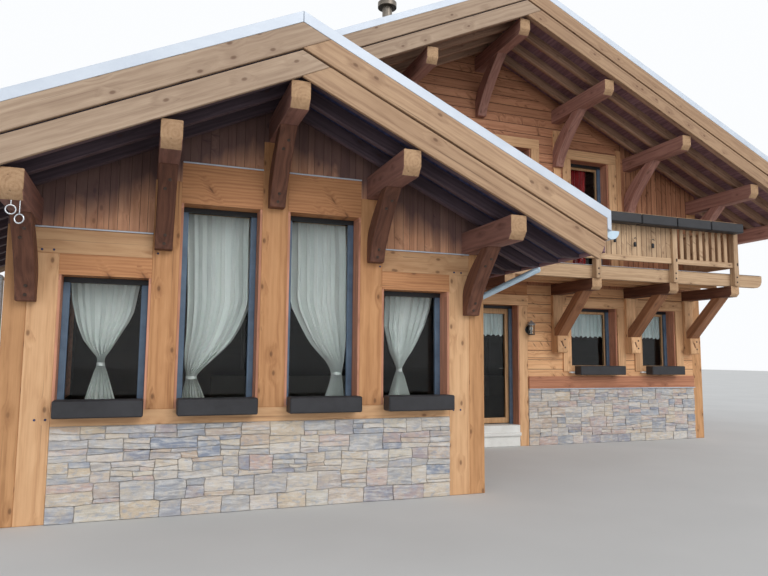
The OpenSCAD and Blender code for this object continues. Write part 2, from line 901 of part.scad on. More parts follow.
module verge_boards() {
    color(larch) {
        at_bay() verge_pair(bay_eave, bay_verge_y);
        translate([0, 0, bay_ridge]) mirror([1, 0, 0]) verge_pair(bay_eave, 0, -house_left);
        at_house() {
            verge_pair(house_eave, -house_verge);
            verge_pair(house_eave, house_rafters[1]);
        }
    }
}

module eave_boards() {
    color(stain) {
        at_bay()
            layer(bay_eave - eave_board_t, bay_eave, rafter_h - eave_lip, cover_z, bay_verge_y + verge_board_t, 0);
        at_house()
            layer(house_eave - eave_board_t, house_eave, rafter_h - eave_lip, cover_z,
                house_rafters[0], house_rafters[1]);
    }
}

// Metal edge over the verge boards, folded down at the eaves
module verge_edge(eave, front, back, d0 = ridge_gap / 2) {
    d1 = eave + cover_drip;
    along_y(front, back)
        polygon([[d0, edge_z - fall(d0)], [eave + seat, edge_z - fall(eave)],
            [eave + seat, edge_z - metal_fold - fall(eave)], [d1, edge_z - metal_fold - fall(d1)],
            [d1, top_z - fall(d1)], [d0, top_z - fall(d0)]]);
}

module verge_metal() {
    color(zinc) {
        at_bay() verge_edge(bay_eave, bay_verge_y - metal_t, bay_verge_y + verge_board_t);
        translate([0, 0, bay_ridge]) mirror([1, 0, 0]) verge_edge(bay_eave, 0, verge_board_t + metal_t, -house_left);
        at_house() {
            verge_edge(house_eave, -house_verge - metal_t, house_rafters[0]);
            verge_edge(house_eave, house_rafters[1], house_verge_back + metal_t);
        }
    }
}

// Rainwater
module gutter(eave, z, front, back) {
    translate([eave + gutter_r, 0, z]) along_y(front, back) difference() {
        circle(gutter_r, $fn = 48);
        circle(gutter_r - gutter_t, $fn = 48);
        translate([-gutter_r - CUT, 0]) square(2 * gutter_r + 2 * CUT);
    }
    for (y = [front, back - gutter_t])
        translate([eave + gutter_r, 0, z]) along_y(y, y + gutter_t) difference() {
            circle(gutter_r, $fn = 48);
            translate([-gutter_r - CUT, 0]) square(2 * gutter_r + 2 * CUT);
        }
}

module gutters() {
    color(zinc) {
        both_slopes() gutter(bay_eave, bay_gutter_z, bay_verge_y + verge_board_t, -gutter_t);
        on_both_sides_of_house() gutter(house_eave, house_gutter_z, house_rafters[0], house_rafters[1]);
    }
}

// A round pipe through a list of points, with a collar at each bend
module pipe(points) {
    for (i = [0:len(points) - 2]) {
        v = points[i + 1] - points[i];
        translate(points[i]) rotate([0, acos(v[2] / norm(v)), atan2(v[1], v[0])])
            cylinder(r = pipe_r, h = norm(v), $fn = 32);
    }
    for (i = [1:len(points) - 2]) translate(points[i]) sphere(pipe_r + pipe_collar, $fn = 32);
}

// A pipe from the gutter's floor, down past the eaves and back to the wall
module downpipe(eave, wall_x, y, gutter_z, drop) {
    x0 = eave + gutter_r;
    x1 = wall_x + pipe_r + pipe_clear;
    top = gutter_z - gutter_r - seat;
    pipe([[x0, y, top], [x0, y, top - drop], [x1, y, top - drop - pipe_fall * (x0 - x1)], [x1, y, 0]]);
}

module downpipes() {
    color(zinc) {
        both_slopes() downpipe(bay_eave, bay_half, bay_pipe_y, bay_gutter_z, bay_pipe_drop);
        on_both_sides_of_house()
            downpipe(house_eave, house_half, house_pipe_y, house_gutter_z, house_gutter_z - arm_z + arm_h);
    }
}

// Terrace door
module knuckles(z_shift, plate) {
    for (z = knuckle_zs) translate([hinge_x, hinge_y, z + z_shift]) {
        cylinder(r = knuckle_r, h = knuckle_h, $fn = 32);
        translate([min(0, plate), -knuckle_r, 0]) cube([abs(plate), knuckle_r, knuckle_h]);
    }
}

module door_frame() {
    color(larch) {
        difference() {
            box(door_left, door_right, door_y, door_y + frame_t, floor_z, door_head);
            box(door_left + door_frame_b, door_right - door_frame_b, door_y - CUT, door_y + frame_t + CUT,
                floor_z - CUT, door_head - door_frame_b);
        }
        knuckles(0, -2 * knuckle_r);
    }
}

module door_threshold() {
    color(white) translate([door_left + door_w / 2, 0, 0]) along_x(door_w)
        polygon([[0, 0], [0, threshold_step], [-threshold_out, threshold_step], [-threshold_out, threshold_nose],
            [0, threshold_nose], [0, floor_z], [wall_t, floor_z], [wall_t, 0]]);
}

module handle() {
    rotate([-90, 0, 0]) cylinder(r = 9, h = 45, $fn = 32);
    translate([-120, 36, -8]) cube([129, 14, 16]);
}

module terrace_door() {
    color(larch) {
        translate([leaf_x, leaf_y, leaf_z]) ring(leaf_w, leaf_h, leaf_b, leaf_b, leaf_t);
        knuckles(knuckle_h + seat, 2 * knuckle_r);
        translate([leaf_x + leaf_w - leaf_b / 2, leaf_y + leaf_t, handle_z]) handle();
    }
}

module terrace_door_glass() {
    color("lightblue", 0.4)
        translate([leaf_x + leaf_b, leaf_y + (leaf_t - glass_t) / 2, leaf_z + leaf_b])
            cube([leaf_w - 2 * leaf_b, glass_t, leaf_h - 2 * leaf_b]);
}

// Balcony
module balcony_beams() {
    tip = rim_front - beam_tip;
    color(larch) for (x = beam_xs) translate([x, 0, rim_z]) along_x(beam_w)
        polygon([[0, 0], [tip, 0], [tip, -beam_nose], [rim_front, -beam_h], [0, -beam_h]]);
}

module at_brackets() {
    for (x = [bracket_1, bracket_2, bracket_3]) translate([x, 0, 0]) children();
}

// A wall post with a block at its foot that carries the brace
module balcony_brackets() {
    top = bracket_foot + block_h;
    color(larch) at_brackets() along_x(bracket_w)
        polygon([[0, bracket_foot], [block_chamfer - bracket_d, bracket_foot],
            [-bracket_d, bracket_foot + block_chamfer], [-bracket_d, top],
            [-bracket_back, top], [-bracket_back, beam_z], [0, beam_z]]);
}

module balcony_braces() {
    foot = bracket_foot + block_h;
    color(stain) at_brackets() along_x(brace_w)
        polygon([[-bracket_back, foot], [-bracket_d, foot], [-balcony_brace_reach, beam_z],
            [balcony_brace_t - balcony_brace_reach, beam_z], [-bracket_back, foot + 0.6 * balcony_brace_t]]);
}

// The rim beam, with its lower corner rounded where it runs past the last post
module balcony_rim() {
    w = balcony_right - balcony_left;
    color(larch) translate([balcony_left, 0, rim_z]) along_y(rim_front, rim_front + rim_t) {
        square([w - rim_nose, rim_h]);
        translate([w - rim_nose, rim_nose]) square([rim_nose, rim_h - rim_nose]);
        intersection() {
            translate([w - rim_nose, 0]) square(rim_nose);
            translate([w - rim_nose, rim_nose]) circle(rim_nose, $fn = 64);
        }
    }
}

module balcony_deck() {
    right = bracket_3 + rail_post_w / 2;
    color(larch) {
        box(balcony_left, right, rim_front + rim_t, -casing_t, deck_top - deck_t, deck_top);
        for (y = joist_ys) box(balcony_left, right, y - joist_w / 2, y + joist_w / 2, rim_z, deck_top - deck_t);
    }
}

// The end posts run up past the rails that meet them; the others carry the rail
module balcony_posts() {
    half = rail_post_w / 2;
    color(larch) for (i = [0:3])
        box(beam_xs[i] - half, beam_xs[i] + half, rim_front - post_d, rim_front, rim_z,
            i == 0 || i == 3 ? rail_top : rail_top - top_rail_h);
}

module balcony_rails() {
    half = rail_post_w / 2;
    y0 = rim_front - low_rail_back - low_rail_t;
    color(larch) {
        box(beam_xs[0] + half, beam_xs[3] - half, rim_front - post_d, rim_front, rail_top - top_rail_h, rail_top);
        for (i = [0:2])
            box(beam_xs[i] + half, beam_xs[i + 1] - half, y0, y0 + low_rail_t, low_rail_z, low_rail_z + low_rail_h);
        for (x = [beam_xs[0], beam_xs[3]]) {
            box(x - low_rail_t / 2, x + low_rail_t / 2, rim_front, 0, low_rail_z, low_rail_z + low_rail_h);
            box(x - half, x + half, rim_front, 0, rail_top - top_rail_h, rail_top);
        }
    }
}

// Closed boards in two bays and at the ends, balusters in the third
module balcony_infill() {
    half = rail_post_w / 2;
    y0 = rim_front - board_back - board_t;
    z0 = low_rail_z + low_rail_h;
    z1 = rail_top - top_rail_h;
    step = (beam_xs[3] - beam_xs[2] - rail_post_w) / (baluster_count + 1);
    color(larch) {
        for (i = [0, 1]) box(beam_xs[i] + half, beam_xs[i + 1] - half, y0, y0 + board_t, z0, z1);
        for (i = [1:baluster_count])
            translate([beam_xs[2] + half + i * step - baluster_w / 2, y0, z0]) cube([baluster_w, board_t, z1 - z0]);
        for (x = [beam_xs[0], beam_xs[3]]) box(x - board_t / 2, x + board_t / 2, rim_front, 0, z0, z1);
    }
}

module flower_box(w) {
    translate([box_side, -box_d, -box_sink]) cube([w - 2 * box_side, box_d, box_h]);
}

module flower_boxes() {
    w = (bracket_3 - bracket_1) / planter_count;
    color(iron) {
        for (o = bay_openings) fit(o) translate([0, bay_front, 0]) flower_box($w);
        for (o = front_openings) fit(o) translate([0, -casing_t - sill_out, 0]) flower_box($w);
        for (i = [0:planter_count - 1])
            translate([bracket_1 + i * w + planter_gap / 2, rim_front - post_d - box_d, rail_top - box_sink - box_h])
                cube([w - planter_gap, box_d, box_h]);
    }
}

// A lantern on a short arm beside the terrace door
module wall_lamp() {
    color(iron) translate([door_right + lamp_side, 0, lamp_z]) {
        rotate([90, 0, 0]) cylinder(r = lamp_r, h = lamp_plate_t, $fn = 48);
        translate([-lamp_arm / 2, -lamp_out, -lamp_arm / 2]) cube([lamp_arm, lamp_out, lamp_arm]);
        translate([0, -lamp_out, -lamp_out]) cylinder(r = lamp_r, h = 2 * lamp_out, $fn = 48);
        translate([0, -lamp_out, lamp_out]) cylinder(r1 = lamp_r + lamp_arm / 2, r2 = lamp_arm, h = lamp_r, $fn = 48);
    }
}

// A round flue that stands in the roof, with a conical cap
module flue() {
    roof_z = house_ridge + top_z - fall(house_ridge_x - flue_x);
    color(iron) difference() {
        translate([flue_x, flue_y, 0]) {
            translate([0, 0, roof_z - flue_cap_r])
                cylinder(r = flue_r, h = flue_cap_z - roof_z + flue_cap_r, $fn = 48);
            translate([0, 0, flue_cap_z]) cylinder(r = flue_cap_r, h = flue_r, $fn = 48);
            translate([0, 0, flue_cap_z + flue_r]) cylinder(r1 = flue_cap_r, r2 = flue_r / 3, h = flue_r, $fn = 48);
        }
        translate([house_ridge_x, 0, house_ridge]) mirror([1, 0, 0])
            layer(0, house_half, -CUT, top_z + seat, 0, 2 * flue_y);
    }
}

bay_floor();
house_floor();
upper_floor();
gable_stone();
side_stone();
sill_beam();
corner_posts();
jamb_posts();
window_posts();
lintels();
bay_rails();
bay_gable_boards();
front_walls();
house_gable();
side_walls();
back_walls();
casings();
skirt_boards();
drip_strips();
window_frames();
window_glass();
shutter_boxes();
window_sills();
purlins();
eave_arms();
braces();
rafters();
soffit();
roof_panels();
roof_covering();
verge_boards();
eave_boards();
verge_metal();
gutters();
downpipes();
door_frame();
door_threshold();
terrace_door();
terrace_door_glass();
balcony_beams();
balcony_brackets();
balcony_braces();
balcony_rim();
balcony_deck();
balcony_posts();
balcony_rails();
balcony_infill();
flower_boxes();
wall_lamp();
flue();
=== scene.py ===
import math
import random

import bmesh
import bpy
import numpy as np
from mathutils import Matrix, Vector


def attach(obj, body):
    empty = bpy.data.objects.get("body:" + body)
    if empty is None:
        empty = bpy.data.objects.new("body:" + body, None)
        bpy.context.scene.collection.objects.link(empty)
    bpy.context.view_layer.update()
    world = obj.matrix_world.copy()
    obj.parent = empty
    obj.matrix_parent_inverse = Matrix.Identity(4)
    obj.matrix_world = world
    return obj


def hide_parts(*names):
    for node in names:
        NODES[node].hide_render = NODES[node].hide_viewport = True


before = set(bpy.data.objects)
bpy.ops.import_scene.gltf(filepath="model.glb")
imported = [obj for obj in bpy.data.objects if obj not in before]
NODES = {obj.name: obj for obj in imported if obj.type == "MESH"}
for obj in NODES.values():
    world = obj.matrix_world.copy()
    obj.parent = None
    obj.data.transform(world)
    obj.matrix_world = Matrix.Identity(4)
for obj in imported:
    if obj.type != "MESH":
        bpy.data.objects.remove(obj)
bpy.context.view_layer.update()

# Measures of the building, in metres
PITCH = math.radians(25)
SLOPE = math.tan(PITCH)
BAY_FRONT = -3.48
BAY_HALF = 2.58
BAY_RIDGE = 4.265
BAY_STONE = 0.905
HOUSE_LEFT = -0.705
HOUSE_RIGHT = 9.605
HOUSE_WIDTH = 10.31
HOUSE_DEPTH = 8.6
HOUSE_RIDGE_X = 4.45
HOUSE_RIDGE = 7.2759
HOUSE_STONE = 1.02
ROOF_TOP = 0.636
FLOOR = 0.38
BALCONY_FLOOR = 3.2
SILL_TOP = 1.057
GROUND_SILL = 1.35
SMALL_HEAD = 2.3806
TALL_HEAD = 3.195
GROUND_HEAD = 2.575
SHUTTER = 0.055
DOOR_LEFT = 4.247
NARROW = 0.87
WIDE = 1.094

BRACKETS = (6.055, 7.76, 9.24)
BAY_PURLINS = (-2.38, -1.155, 0.0, 1.155, 2.38)
SMALL_LEFT = (-2.115, -1.2575)
TALL_LEFT = (-0.9925, -0.143)

X = Vector((1, 0, 0))
Y = Vector((0, 1, 0))
Z = Vector((0, 0, 1))


# Hand tools

def put_down():
    if bpy.context.mode != "OBJECT":
        bpy.ops.object.mode_set(mode="OBJECT")
    bpy.ops.object.select_all(action="DESELECT")


def take(obj):
    put_down()
    obj.select_set(True)
    bpy.context.view_layer.objects.active = obj


def edit(obj):
    take(obj)
    bpy.ops.object.mode_set(mode="EDIT")
    bpy.ops.mesh.select_mode(type="FACE")


def pick(obj, kind, wanted):
    """Selects the vertices, edges or faces that are wanted and counts them."""
    bpy.ops.mesh.select_mode(type=kind)
    bpy.ops.mesh.select_all(action="DESELECT")
    bm = bmesh.from_edit_mesh(obj.data)
    chosen = [part for part in {"VERT": bm.verts, "EDGE": bm.edges, "FACE": bm.faces}[kind] if wanted(part)]
    for part in chosen:
        part.select_set(True)
    bmesh.update_edit_mesh(obj.data)
    return len(chosen)


def pick_faces(obj, wanted):
    """Selects the faces for which wanted(face centre, normal) is true."""
    return pick(obj, "FACE", lambda face: wanted(face.calc_center_median(), face.normal))


def pick_all():
    bpy.ops.mesh.select_all(action="SELECT")


def merge(distance):
    """Joins the points of the piece in hand that lie closer than a distance."""
    pick_all()
    bpy.ops.mesh.remove_doubles(threshold=distance)


def pull(x, y, z):
    """Draws new faces out of what is picked."""
    bpy.ops.mesh.extrude_region_move(TRANSFORM_OT_translate={"value": (x, y, z)})


def apply_modifiers(obj):
    take(obj)
    for modifier in list(obj.modifiers):
        bpy.ops.object.modifier_apply(modifier=modifier.name)


def round_edges(obj, width, segments=1, angle=30):
    bevel = obj.modifiers.new("edges", "BEVEL")
    bevel.width = width
    bevel.segments = segments
    bevel.limit_method = "ANGLE"
    bevel.angle_limit = math.radians(angle)
    bevel.use_clamp_overlap = True
    bevel.miter_outer = "MITER_ARC" if segments > 1 else "MITER_SHARP"
    apply_modifiers(obj)


def thicken(obj, thickness, offset=-1):
    shell = obj.modifiers.new("shell", "SOLIDIFY")
    shell.thickness = thickness
    shell.offset = offset
    apply_modifiers(obj)


def smooth(obj, angle=35):
    take(obj)
    bpy.ops.object.shade_smooth_by_angle(angle=math.radians(angle))


def at(x, y, z):
    return Matrix.Translation((x, y, z))


def turned(angle, axis):
    return Matrix.Rotation(angle, 4, axis)


def within(value, low, high):
    return low < value < high


def merged_copy(node, name):
    """A copy of a node's mesh with its triangles joined into plain faces."""
    obj = bpy.data.objects.new(name, NODES[node].data.copy())
    bpy.context.scene.collection.objects.link(obj)
    obj.data.materials.clear()
    edit(obj)
    bpy.ops.mesh.customdata_custom_splitnormals_clear()
    merge(0.00002)
    pick_all()
    bpy.ops.mesh.dissolve_limited(angle_limit=math.radians(0.5))
    put_down()
    return obj


def started(name, scale=(1, 1, 1)):
    """Names the piece that was added last, and applies its place, turn and size."""
    obj = bpy.context.active_object
    obj.name = name
    obj.scale = scale
    bpy.ops.object.transform_apply(location=True, rotation=True, scale=True)
    return obj


def cube(name, low, high):
    """A block between two corners, as a start for a piece."""
    put_down()
    low, high = Vector(low), Vector(high)
    bpy.ops.mesh.primitive_cube_add(size=1, location=(low + high) / 2)
    return started(name, high - low)


def rod(name, radius, start, end, vertices=16):
    put_down()
    start, end = Vector(start), Vector(end)
    bpy.ops.mesh.primitive_cylinder_add(radius=radius, depth=(end - start).length, vertices=vertices,
        location=(start + end) / 2, rotation=(end - start).to_track_quat("Z", "Y").to_euler())
    return started(name)


def join(name, objs):
    put_down()
    for obj in objs:
        obj.select_set(True)
    bpy.context.view_layer.objects.active = objs[0]
    if len(objs) > 1:
        bpy.ops.object.join()
    objs[0].name = name
    return objs[0]


def repeat(model, places):
    """Copies of a model at each place (a matrix), each with its own mesh. The model goes."""
    out = []
    for place in places:
        copy = model.copy()
        copy.data = model.data.copy()
        copy.data.transform(place)
        if place.determinant() < 0:
            copy.data.flip_normals()
        bpy.context.scene.collection.objects.link(copy)
        out.append(copy)
    bpy.data.objects.remove(model)
    return out


def finish_piece(obj, materials, node=None, body="root"):
    """Gives a piece its finishes and body, and hides the node that it takes the place of."""
    obj.data.materials.clear()
    for material in materials:
        obj.data.materials.append(material)
    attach(obj, body)
    if node:
        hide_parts(node)
    return obj


# Grain

def corner_data(mesh):
    """Places of the vertices, then the vertex and the face of each face corner."""
    co = np.empty(len(mesh.vertices) * 3)
    mesh.vertices.foreach_get("co", co)
    corner = np.empty(len(mesh.loops), int)
    mesh.loops.foreach_get("vertex_index", corner)
    total = np.empty(len(mesh.polygons), int)
    mesh.polygons.foreach_get("loop_total", total)
    face = np.repeat(np.arange(len(mesh.polygons)), total)
    return co.reshape(-1, 3), corner, face


def loose_parts(mesh):
    """The number of the loose part that each vertex belongs to."""
    edges = np.empty(len(mesh.edges) * 2, int)
    mesh.edges.foreach_get("vertices", edges)
    edges = edges.reshape(-1, 2)
    part = np.arange(len(mesh.vertices))
    while True:
        low = np.minimum(part[edges[:, 0]], part[edges[:, 1]])
        new = part.copy()
        np.minimum.at(new, edges[:, 0], low)
        np.minimum.at(new, edges[:, 1], low)
        new = new[new]
        if (new == part).all():
            return np.unique(part, return_inverse=True)[1]
        part = new


def store(mesh, grain, tone, spots):
    """Keeps on a mesh what the timber finish reads: place in the log, tone of the piece, place of the knots."""
    for name in ("grain", "tone", "spots"):
        if name in mesh.attributes:
            mesh.attributes.remove(mesh.attributes[name])
    mesh.attributes.new("grain", "FLOAT_VECTOR", "CORNER").data.foreach_set("vector", grain.ravel())
    mesh.attributes.new("spots", "FLOAT_VECTOR", "CORNER").data.foreach_set("vector", spots.ravel())
    mesh.attributes.new("tone", "FLOAT", "CORNER").data.foreach_set("value", tone)


def grain_of_timbers(obj, seed, board=False):
    """Gives each loose timber its own log: the grain runs along its length, off its own heart."""
    mesh = obj.data
    co, corner, face = corner_data(mesh)
    part = loose_parts(mesh)
    rng = np.random.default_rng(seed)
    grain = np.zeros((len(corner), 3))
    tone = np.zeros(len(corner))
    spots = np.zeros((len(corner), 3))
    normals = np.empty(len(mesh.polygons) * 3)
    mesh.polygons.foreach_get("normal", normals)
    normals = normals.reshape(-1, 3)[face]
    corner_part = part[corner]
    order = np.argsort(corner_part, kind="stable")
    starts = np.searchsorted(corner_part[order], np.arange(part.max() + 2))
    for i in range(part.max() + 1):
        mine = order[starts[i]:starts[i + 1]]
        p = co[corner[mine]]
        q = p - p.mean(0)
        axes = np.linalg.eigh(q.T @ q)[1][:, ::-1]
        q = q @ axes
        size = np.abs(q).max(0)
        reach = size[2] * 2 + 0.07 if board else min(0.035, size[2] * 0.4)
        q[:, 0] += rng.uniform(-40, 40)
        q[:, 1] += rng.uniform(-1, 1) * (size[1] * 0.5 if board else reach)
        q[:, 2] += rng.choice([-1, 1]) * rng.uniform(0.6, 1.0) * reach
        grain[mine] = q
        tone[mine] = rng.uniform(0, 1)
        turned = np.abs(normals[mine] @ axes)
        side = turned[:, 1] > turned[:, 2]
        spots[mine, 0] = q[:, 0]
        spots[mine, 1] = np.where(side, q[:, 2] + 7.3, q[:, 1]) + i * 3.7
    store(mesh, grain, tone, spots)
    return obj


def grain_of_boards(obj, seed, runs):
    """Lays grain on a boarded wall. Each run is (mask of faces, board direction, across, out, seams)."""
    mesh = obj.data
    co, corner, face = corner_data(mesh)
    centre = np.empty(len(mesh.polygons) * 3)
    mesh.polygons.foreach_get("center", centre)
    centre = centre.reshape(-1, 3)
    rng = np.random.default_rng(seed)
    grain = np.zeros((len(corner), 3))
    tone = np.full(len(corner), 0.5)
    for mask, along, across, out, seams in runs:
        chosen = np.array([mask(Vector(c)) for c in centre])
        basis = np.array([along, across, out], float)
        number = np.searchsorted(np.array(seams), centre @ basis[1])
        boards = len(seams) + 1
        shift = np.stack([rng.uniform(low, high, boards)
            for low, high in ((-40, 40), (-0.05, 0.05), (0.05, 0.14))], 1)
        shade = rng.uniform(0, 1, boards)
        mine = chosen[face]
        board = number[face[mine]]
        q = co[corner[mine]] @ basis.T
        edges = np.concatenate([[seams[0] - 0.15], seams, [seams[-1] + 0.15]])
        q[:, 1] -= (edges[board] + edges[board + 1]) / 2
        q[:, 2] -= (centre[chosen] @ basis[2]).max() if chosen.any() else 0
        grain[mine] = q + shift[board]
        tone[mine] = shade[board]
    store(mesh, grain, tone, grain * (1, 1, 0) + (0, 1, 0) * np.round(grain[:, :1]))
    return obj


# Finishes

class Nodes:
    """Makes and joins the shader nodes of a material or of the world."""

    def __init__(self, owner):
        owner.use_nodes = True
        self.tree = owner.node_tree
        self.tree.nodes.clear()

    def add(self, kind, **settings):
        node = self.tree.nodes.new(kind)
        for key, value in settings.items():
            setattr(node, key, value)
        return node

    def link(self, a, b):
        self.tree.links.new(a, b)

    def fill(self, node, values):
        for key, value in values.items():
            if isinstance(value, bpy.types.NodeSocket):
                self.link(value, node.inputs[key])
            else:
                node.inputs[key].default_value = value
        return node

    def place(self):
        return self.add("ShaderNodeTexCoord").outputs["Object"]

    def attribute(self, name, output):
        return self.add("ShaderNodeAttribute", attribute_name=name).outputs[output]

    def mapped(self, vector, scale=(1, 1, 1), shift=(0, 0, 0)):
        node = self.add("ShaderNodeMapping")
        return self.fill(node, {"Vector": vector, "Scale": scale, "Location": shift}).outputs[0]

    def noise(self, vector, scale, detail=3.0, rough=0.55, distort=0.0):
        node = self.add("ShaderNodeTexNoise")
        return self.fill(node, {"Vector": vector, "Scale": scale, "Detail": detail, "Roughness": rough,
            "Distortion": distort}).outputs["Fac"]

    def rings(self, vector, scale, distort, detail_scale):
        node = self.add("ShaderNodeTexWave", wave_type="RINGS", rings_direction="X", wave_profile="SIN")
        return self.fill(node, {"Vector": vector, "Scale": scale, "Distortion": distort, "Detail": 2.0,
            "Detail Scale": detail_scale, "Detail Roughness": 0.5}).outputs["Fac"]

    def cells(self, vector, scale, output="Distance", flat=False):
        node = self.add("ShaderNodeTexVoronoi", voronoi_dimensions="2D" if flat else "3D")
        return self.fill(node, {"Vector": vector, "Scale": scale}).outputs[output]

    def vector(self, x, y, z):
        return self.fill(self.add("ShaderNodeCombineXYZ"), {"X": x, "Y": y, "Z": z}).outputs[0]

    def moved(self, vector, by):
        return self.fill(self.add("ShaderNodeVectorMath", operation="ADD"), {0: vector, 1: by}).outputs[0]

    def parts(self, vector, *names):
        node = self.fill(self.add("ShaderNodeSeparateXYZ"), {"Vector": vector})
        return [node.outputs[name] for name in names]

    def spread(self, value, low, high, to_low=0.0, to_high=1.0):
        node = self.add("ShaderNodeMapRange")
        return self.fill(node, {"Value": value, "From Min": low, "From Max": high, "To Min": to_low,
            "To Max": to_high}).outputs[0]

    def sum(self, kind, a, b):
        return self.fill(self.add("ShaderNodeMath", operation=kind), {0: a, 1: b}).outputs[0]

    def plus(self, a, b):
        return self.sum("ADD", a, b)

    def less(self, a, b):
        return self.sum("SUBTRACT", a, b)

    def times(self, a, b):
        return self.sum("MULTIPLY", a, b)

    def mix(self, factor, a, b, kind="MIX"):
        node = self.add("ShaderNodeMix", data_type="RGBA", blend_type=kind)
        return self.fill(node, {"Factor": factor, "A": a, "B": b}).outputs["Result"]

    def ramp(self, value, *stops):
        node = self.add("ShaderNodeValToRGB")
        elements = node.color_ramp.elements
        while len(elements) < len(stops):
            elements.new(0.5)
        for element, (place, colour) in zip(elements, stops):
            element.position = place
            element.color = colour
        self.link(value, node.inputs[0])
        return node.outputs[0]


class Finish(Nodes):
    """A material under construction."""

    def __init__(self, name):
        self.material = bpy.data.materials.new(name)
        super().__init__(self.material)
        self.shader = self.add("ShaderNodeBsdfPrincipled")
        self.link(self.shader.outputs[0], self.add("ShaderNodeOutputMaterial").inputs["Surface"])

    def colour(self, value):
        self.fill(self.shader, {"Base Color": value})

    def roughness(self, value):
        self.fill(self.shader, {"Roughness": value})

    def bump(self, height, distance, strength=1.0):
        node = self.add("ShaderNodeBump")
        self.fill(node, {"Height": height, "Distance": distance, "Strength": strength})
        self.link(node.outputs[0], self.shader.inputs["Normal"])


def rgb(r, g, b):
    """A colour given in 0 to 255 as it looks, for a shader."""
    return tuple(((c / 255 + 0.055) / 1.055) ** 2.4 for c in (r, g, b)) + (1.0,)


def timber(name, light, middle, dark, knots=1.0, gloss=0.6, rings=0.14, shade=None):
    """Oiled softwood: streaks that bend round reddish knots, faint rings, fine cracks and a tone of its own."""
    f = Finish(name)
    light, middle, dark = (rgb(*colour) for colour in (light, middle, dark))
    straight = f.attribute("grain", "Vector")
    tone = f.attribute("tone", "Fac")
    place = f.mapped(f.attribute("spots", "Vector"), (3.0, 5.4, 1), (11, 5, 2))
    knot = f.cells(place, 1.0, flat=True)
    chosen = f.spread(f.cells(place, 1.0, output="Color", flat=True), 0.56, 0.60, 0.0, knots)
    bend = f.times(f.spread(knot, 0.04, 0.48, 1.0, 0.0), chosen)
    push = f.times(bend, 0.030)
    grain = f.moved(straight, f.vector(0.0, push, push))
    ring = f.rings(f.mapped(grain, (0.22, 1, 1)), 9.0, 4.0, 1.3)
    broad = f.noise(f.mapped(grain, (0.55, 20, 20)), 1.0, 5.0, 0.64, 0.25)
    fine = f.noise(f.mapped(grain, (2.2, 110, 110)), 1.0, 3.0, 0.65)
    cloud = f.noise(f.mapped(grain, (1.1, 3.6, 3.6), (3, 1, 8)), 1.0, 4.0, 0.6)
    lines = f.plus(f.times(broad, 0.66), f.times(fine, 0.34))
    lines = f.plus(f.times(lines, 1.0 - rings), f.times(ring, rings))
    base = f.ramp(lines, (0.25, dark), (0.5, middle), (0.75, light))
    worn = f.mix(f.spread(cloud, 0.40, 0.66, 0.0, 0.5), base, f.mix(0.55, base, dark))
    lift = f.mix(f.spread(tone, 0, 1, 0.0, 1.0), (0.85, 0.82, 0.79, 1), (1.12, 1.11, 1.09, 1))
    toned = f.mix(1.0, worn, lift, "MULTIPLY")
    halo = f.times(f.spread(knot, 0.08, 0.40, 0.62, 0.0), chosen)
    shaded = f.mix(halo, toned, f.mix(0.62, toned, dark))
    eye = f.times(f.spread(knot, 0.05, 0.11, 0.85, 0.0), chosen)
    spotted = f.mix(eye, shaded, f.mix(0.70, shaded, (0.085, 0.032, 0.015, 1)))
    check = f.noise(f.mapped(grain, (0.55, 38, 38), (7, 3, 5)), 1.0, 2.0, 0.4)
    crack = f.spread(check, 0.69, 0.75, 0.0, 0.7)
    cracked = f.mix(crack, spotted, f.mix(0.62, spotted, (0.03, 0.015, 0.008, 1)))
    # A shade function, where given, paints shade onto the colour
    f.colour(shade(f, cracked) if shade else cracked)
    f.roughness(f.spread(broad, 0.3, 0.7, gloss - 0.08, gloss + 0.12))
    f.bump(f.less(f.times(lines, 0.8), f.times(crack, 0.9)), 0.0016)
    f.shader.inputs["Specular IOR Level"].default_value = 0.28
    return f.material


def painted_shade_under_the_roof(f, colour):
    """Painted shade: the bay's gable boards darken towards a cool grey-blue close under the roof, where the roof's
    shadow falls, and keep their own colour lower down.
    """
    x, z = f.parts(f.place(), "X", "Z")
    roof = f.less(BAY_RIDGE, f.times(f.sum("ABSOLUTE", x, 0.0), SLOPE))
    below = f.less(roof, z)
    wander = f.noise(f.mapped(f.place(), (9, 9, 1.2)), 1.0, 2.0)
    depth = f.plus(below, f.times(wander, 0.35))
    # Painted shade: mixes the colour towards a dark grey-blue near the roof
    return f.mix(f.spread(depth, 0.36, 0.68, 0.85, 0.0), colour, f.mix(0.9, colour, rgb(62, 54, 68)))


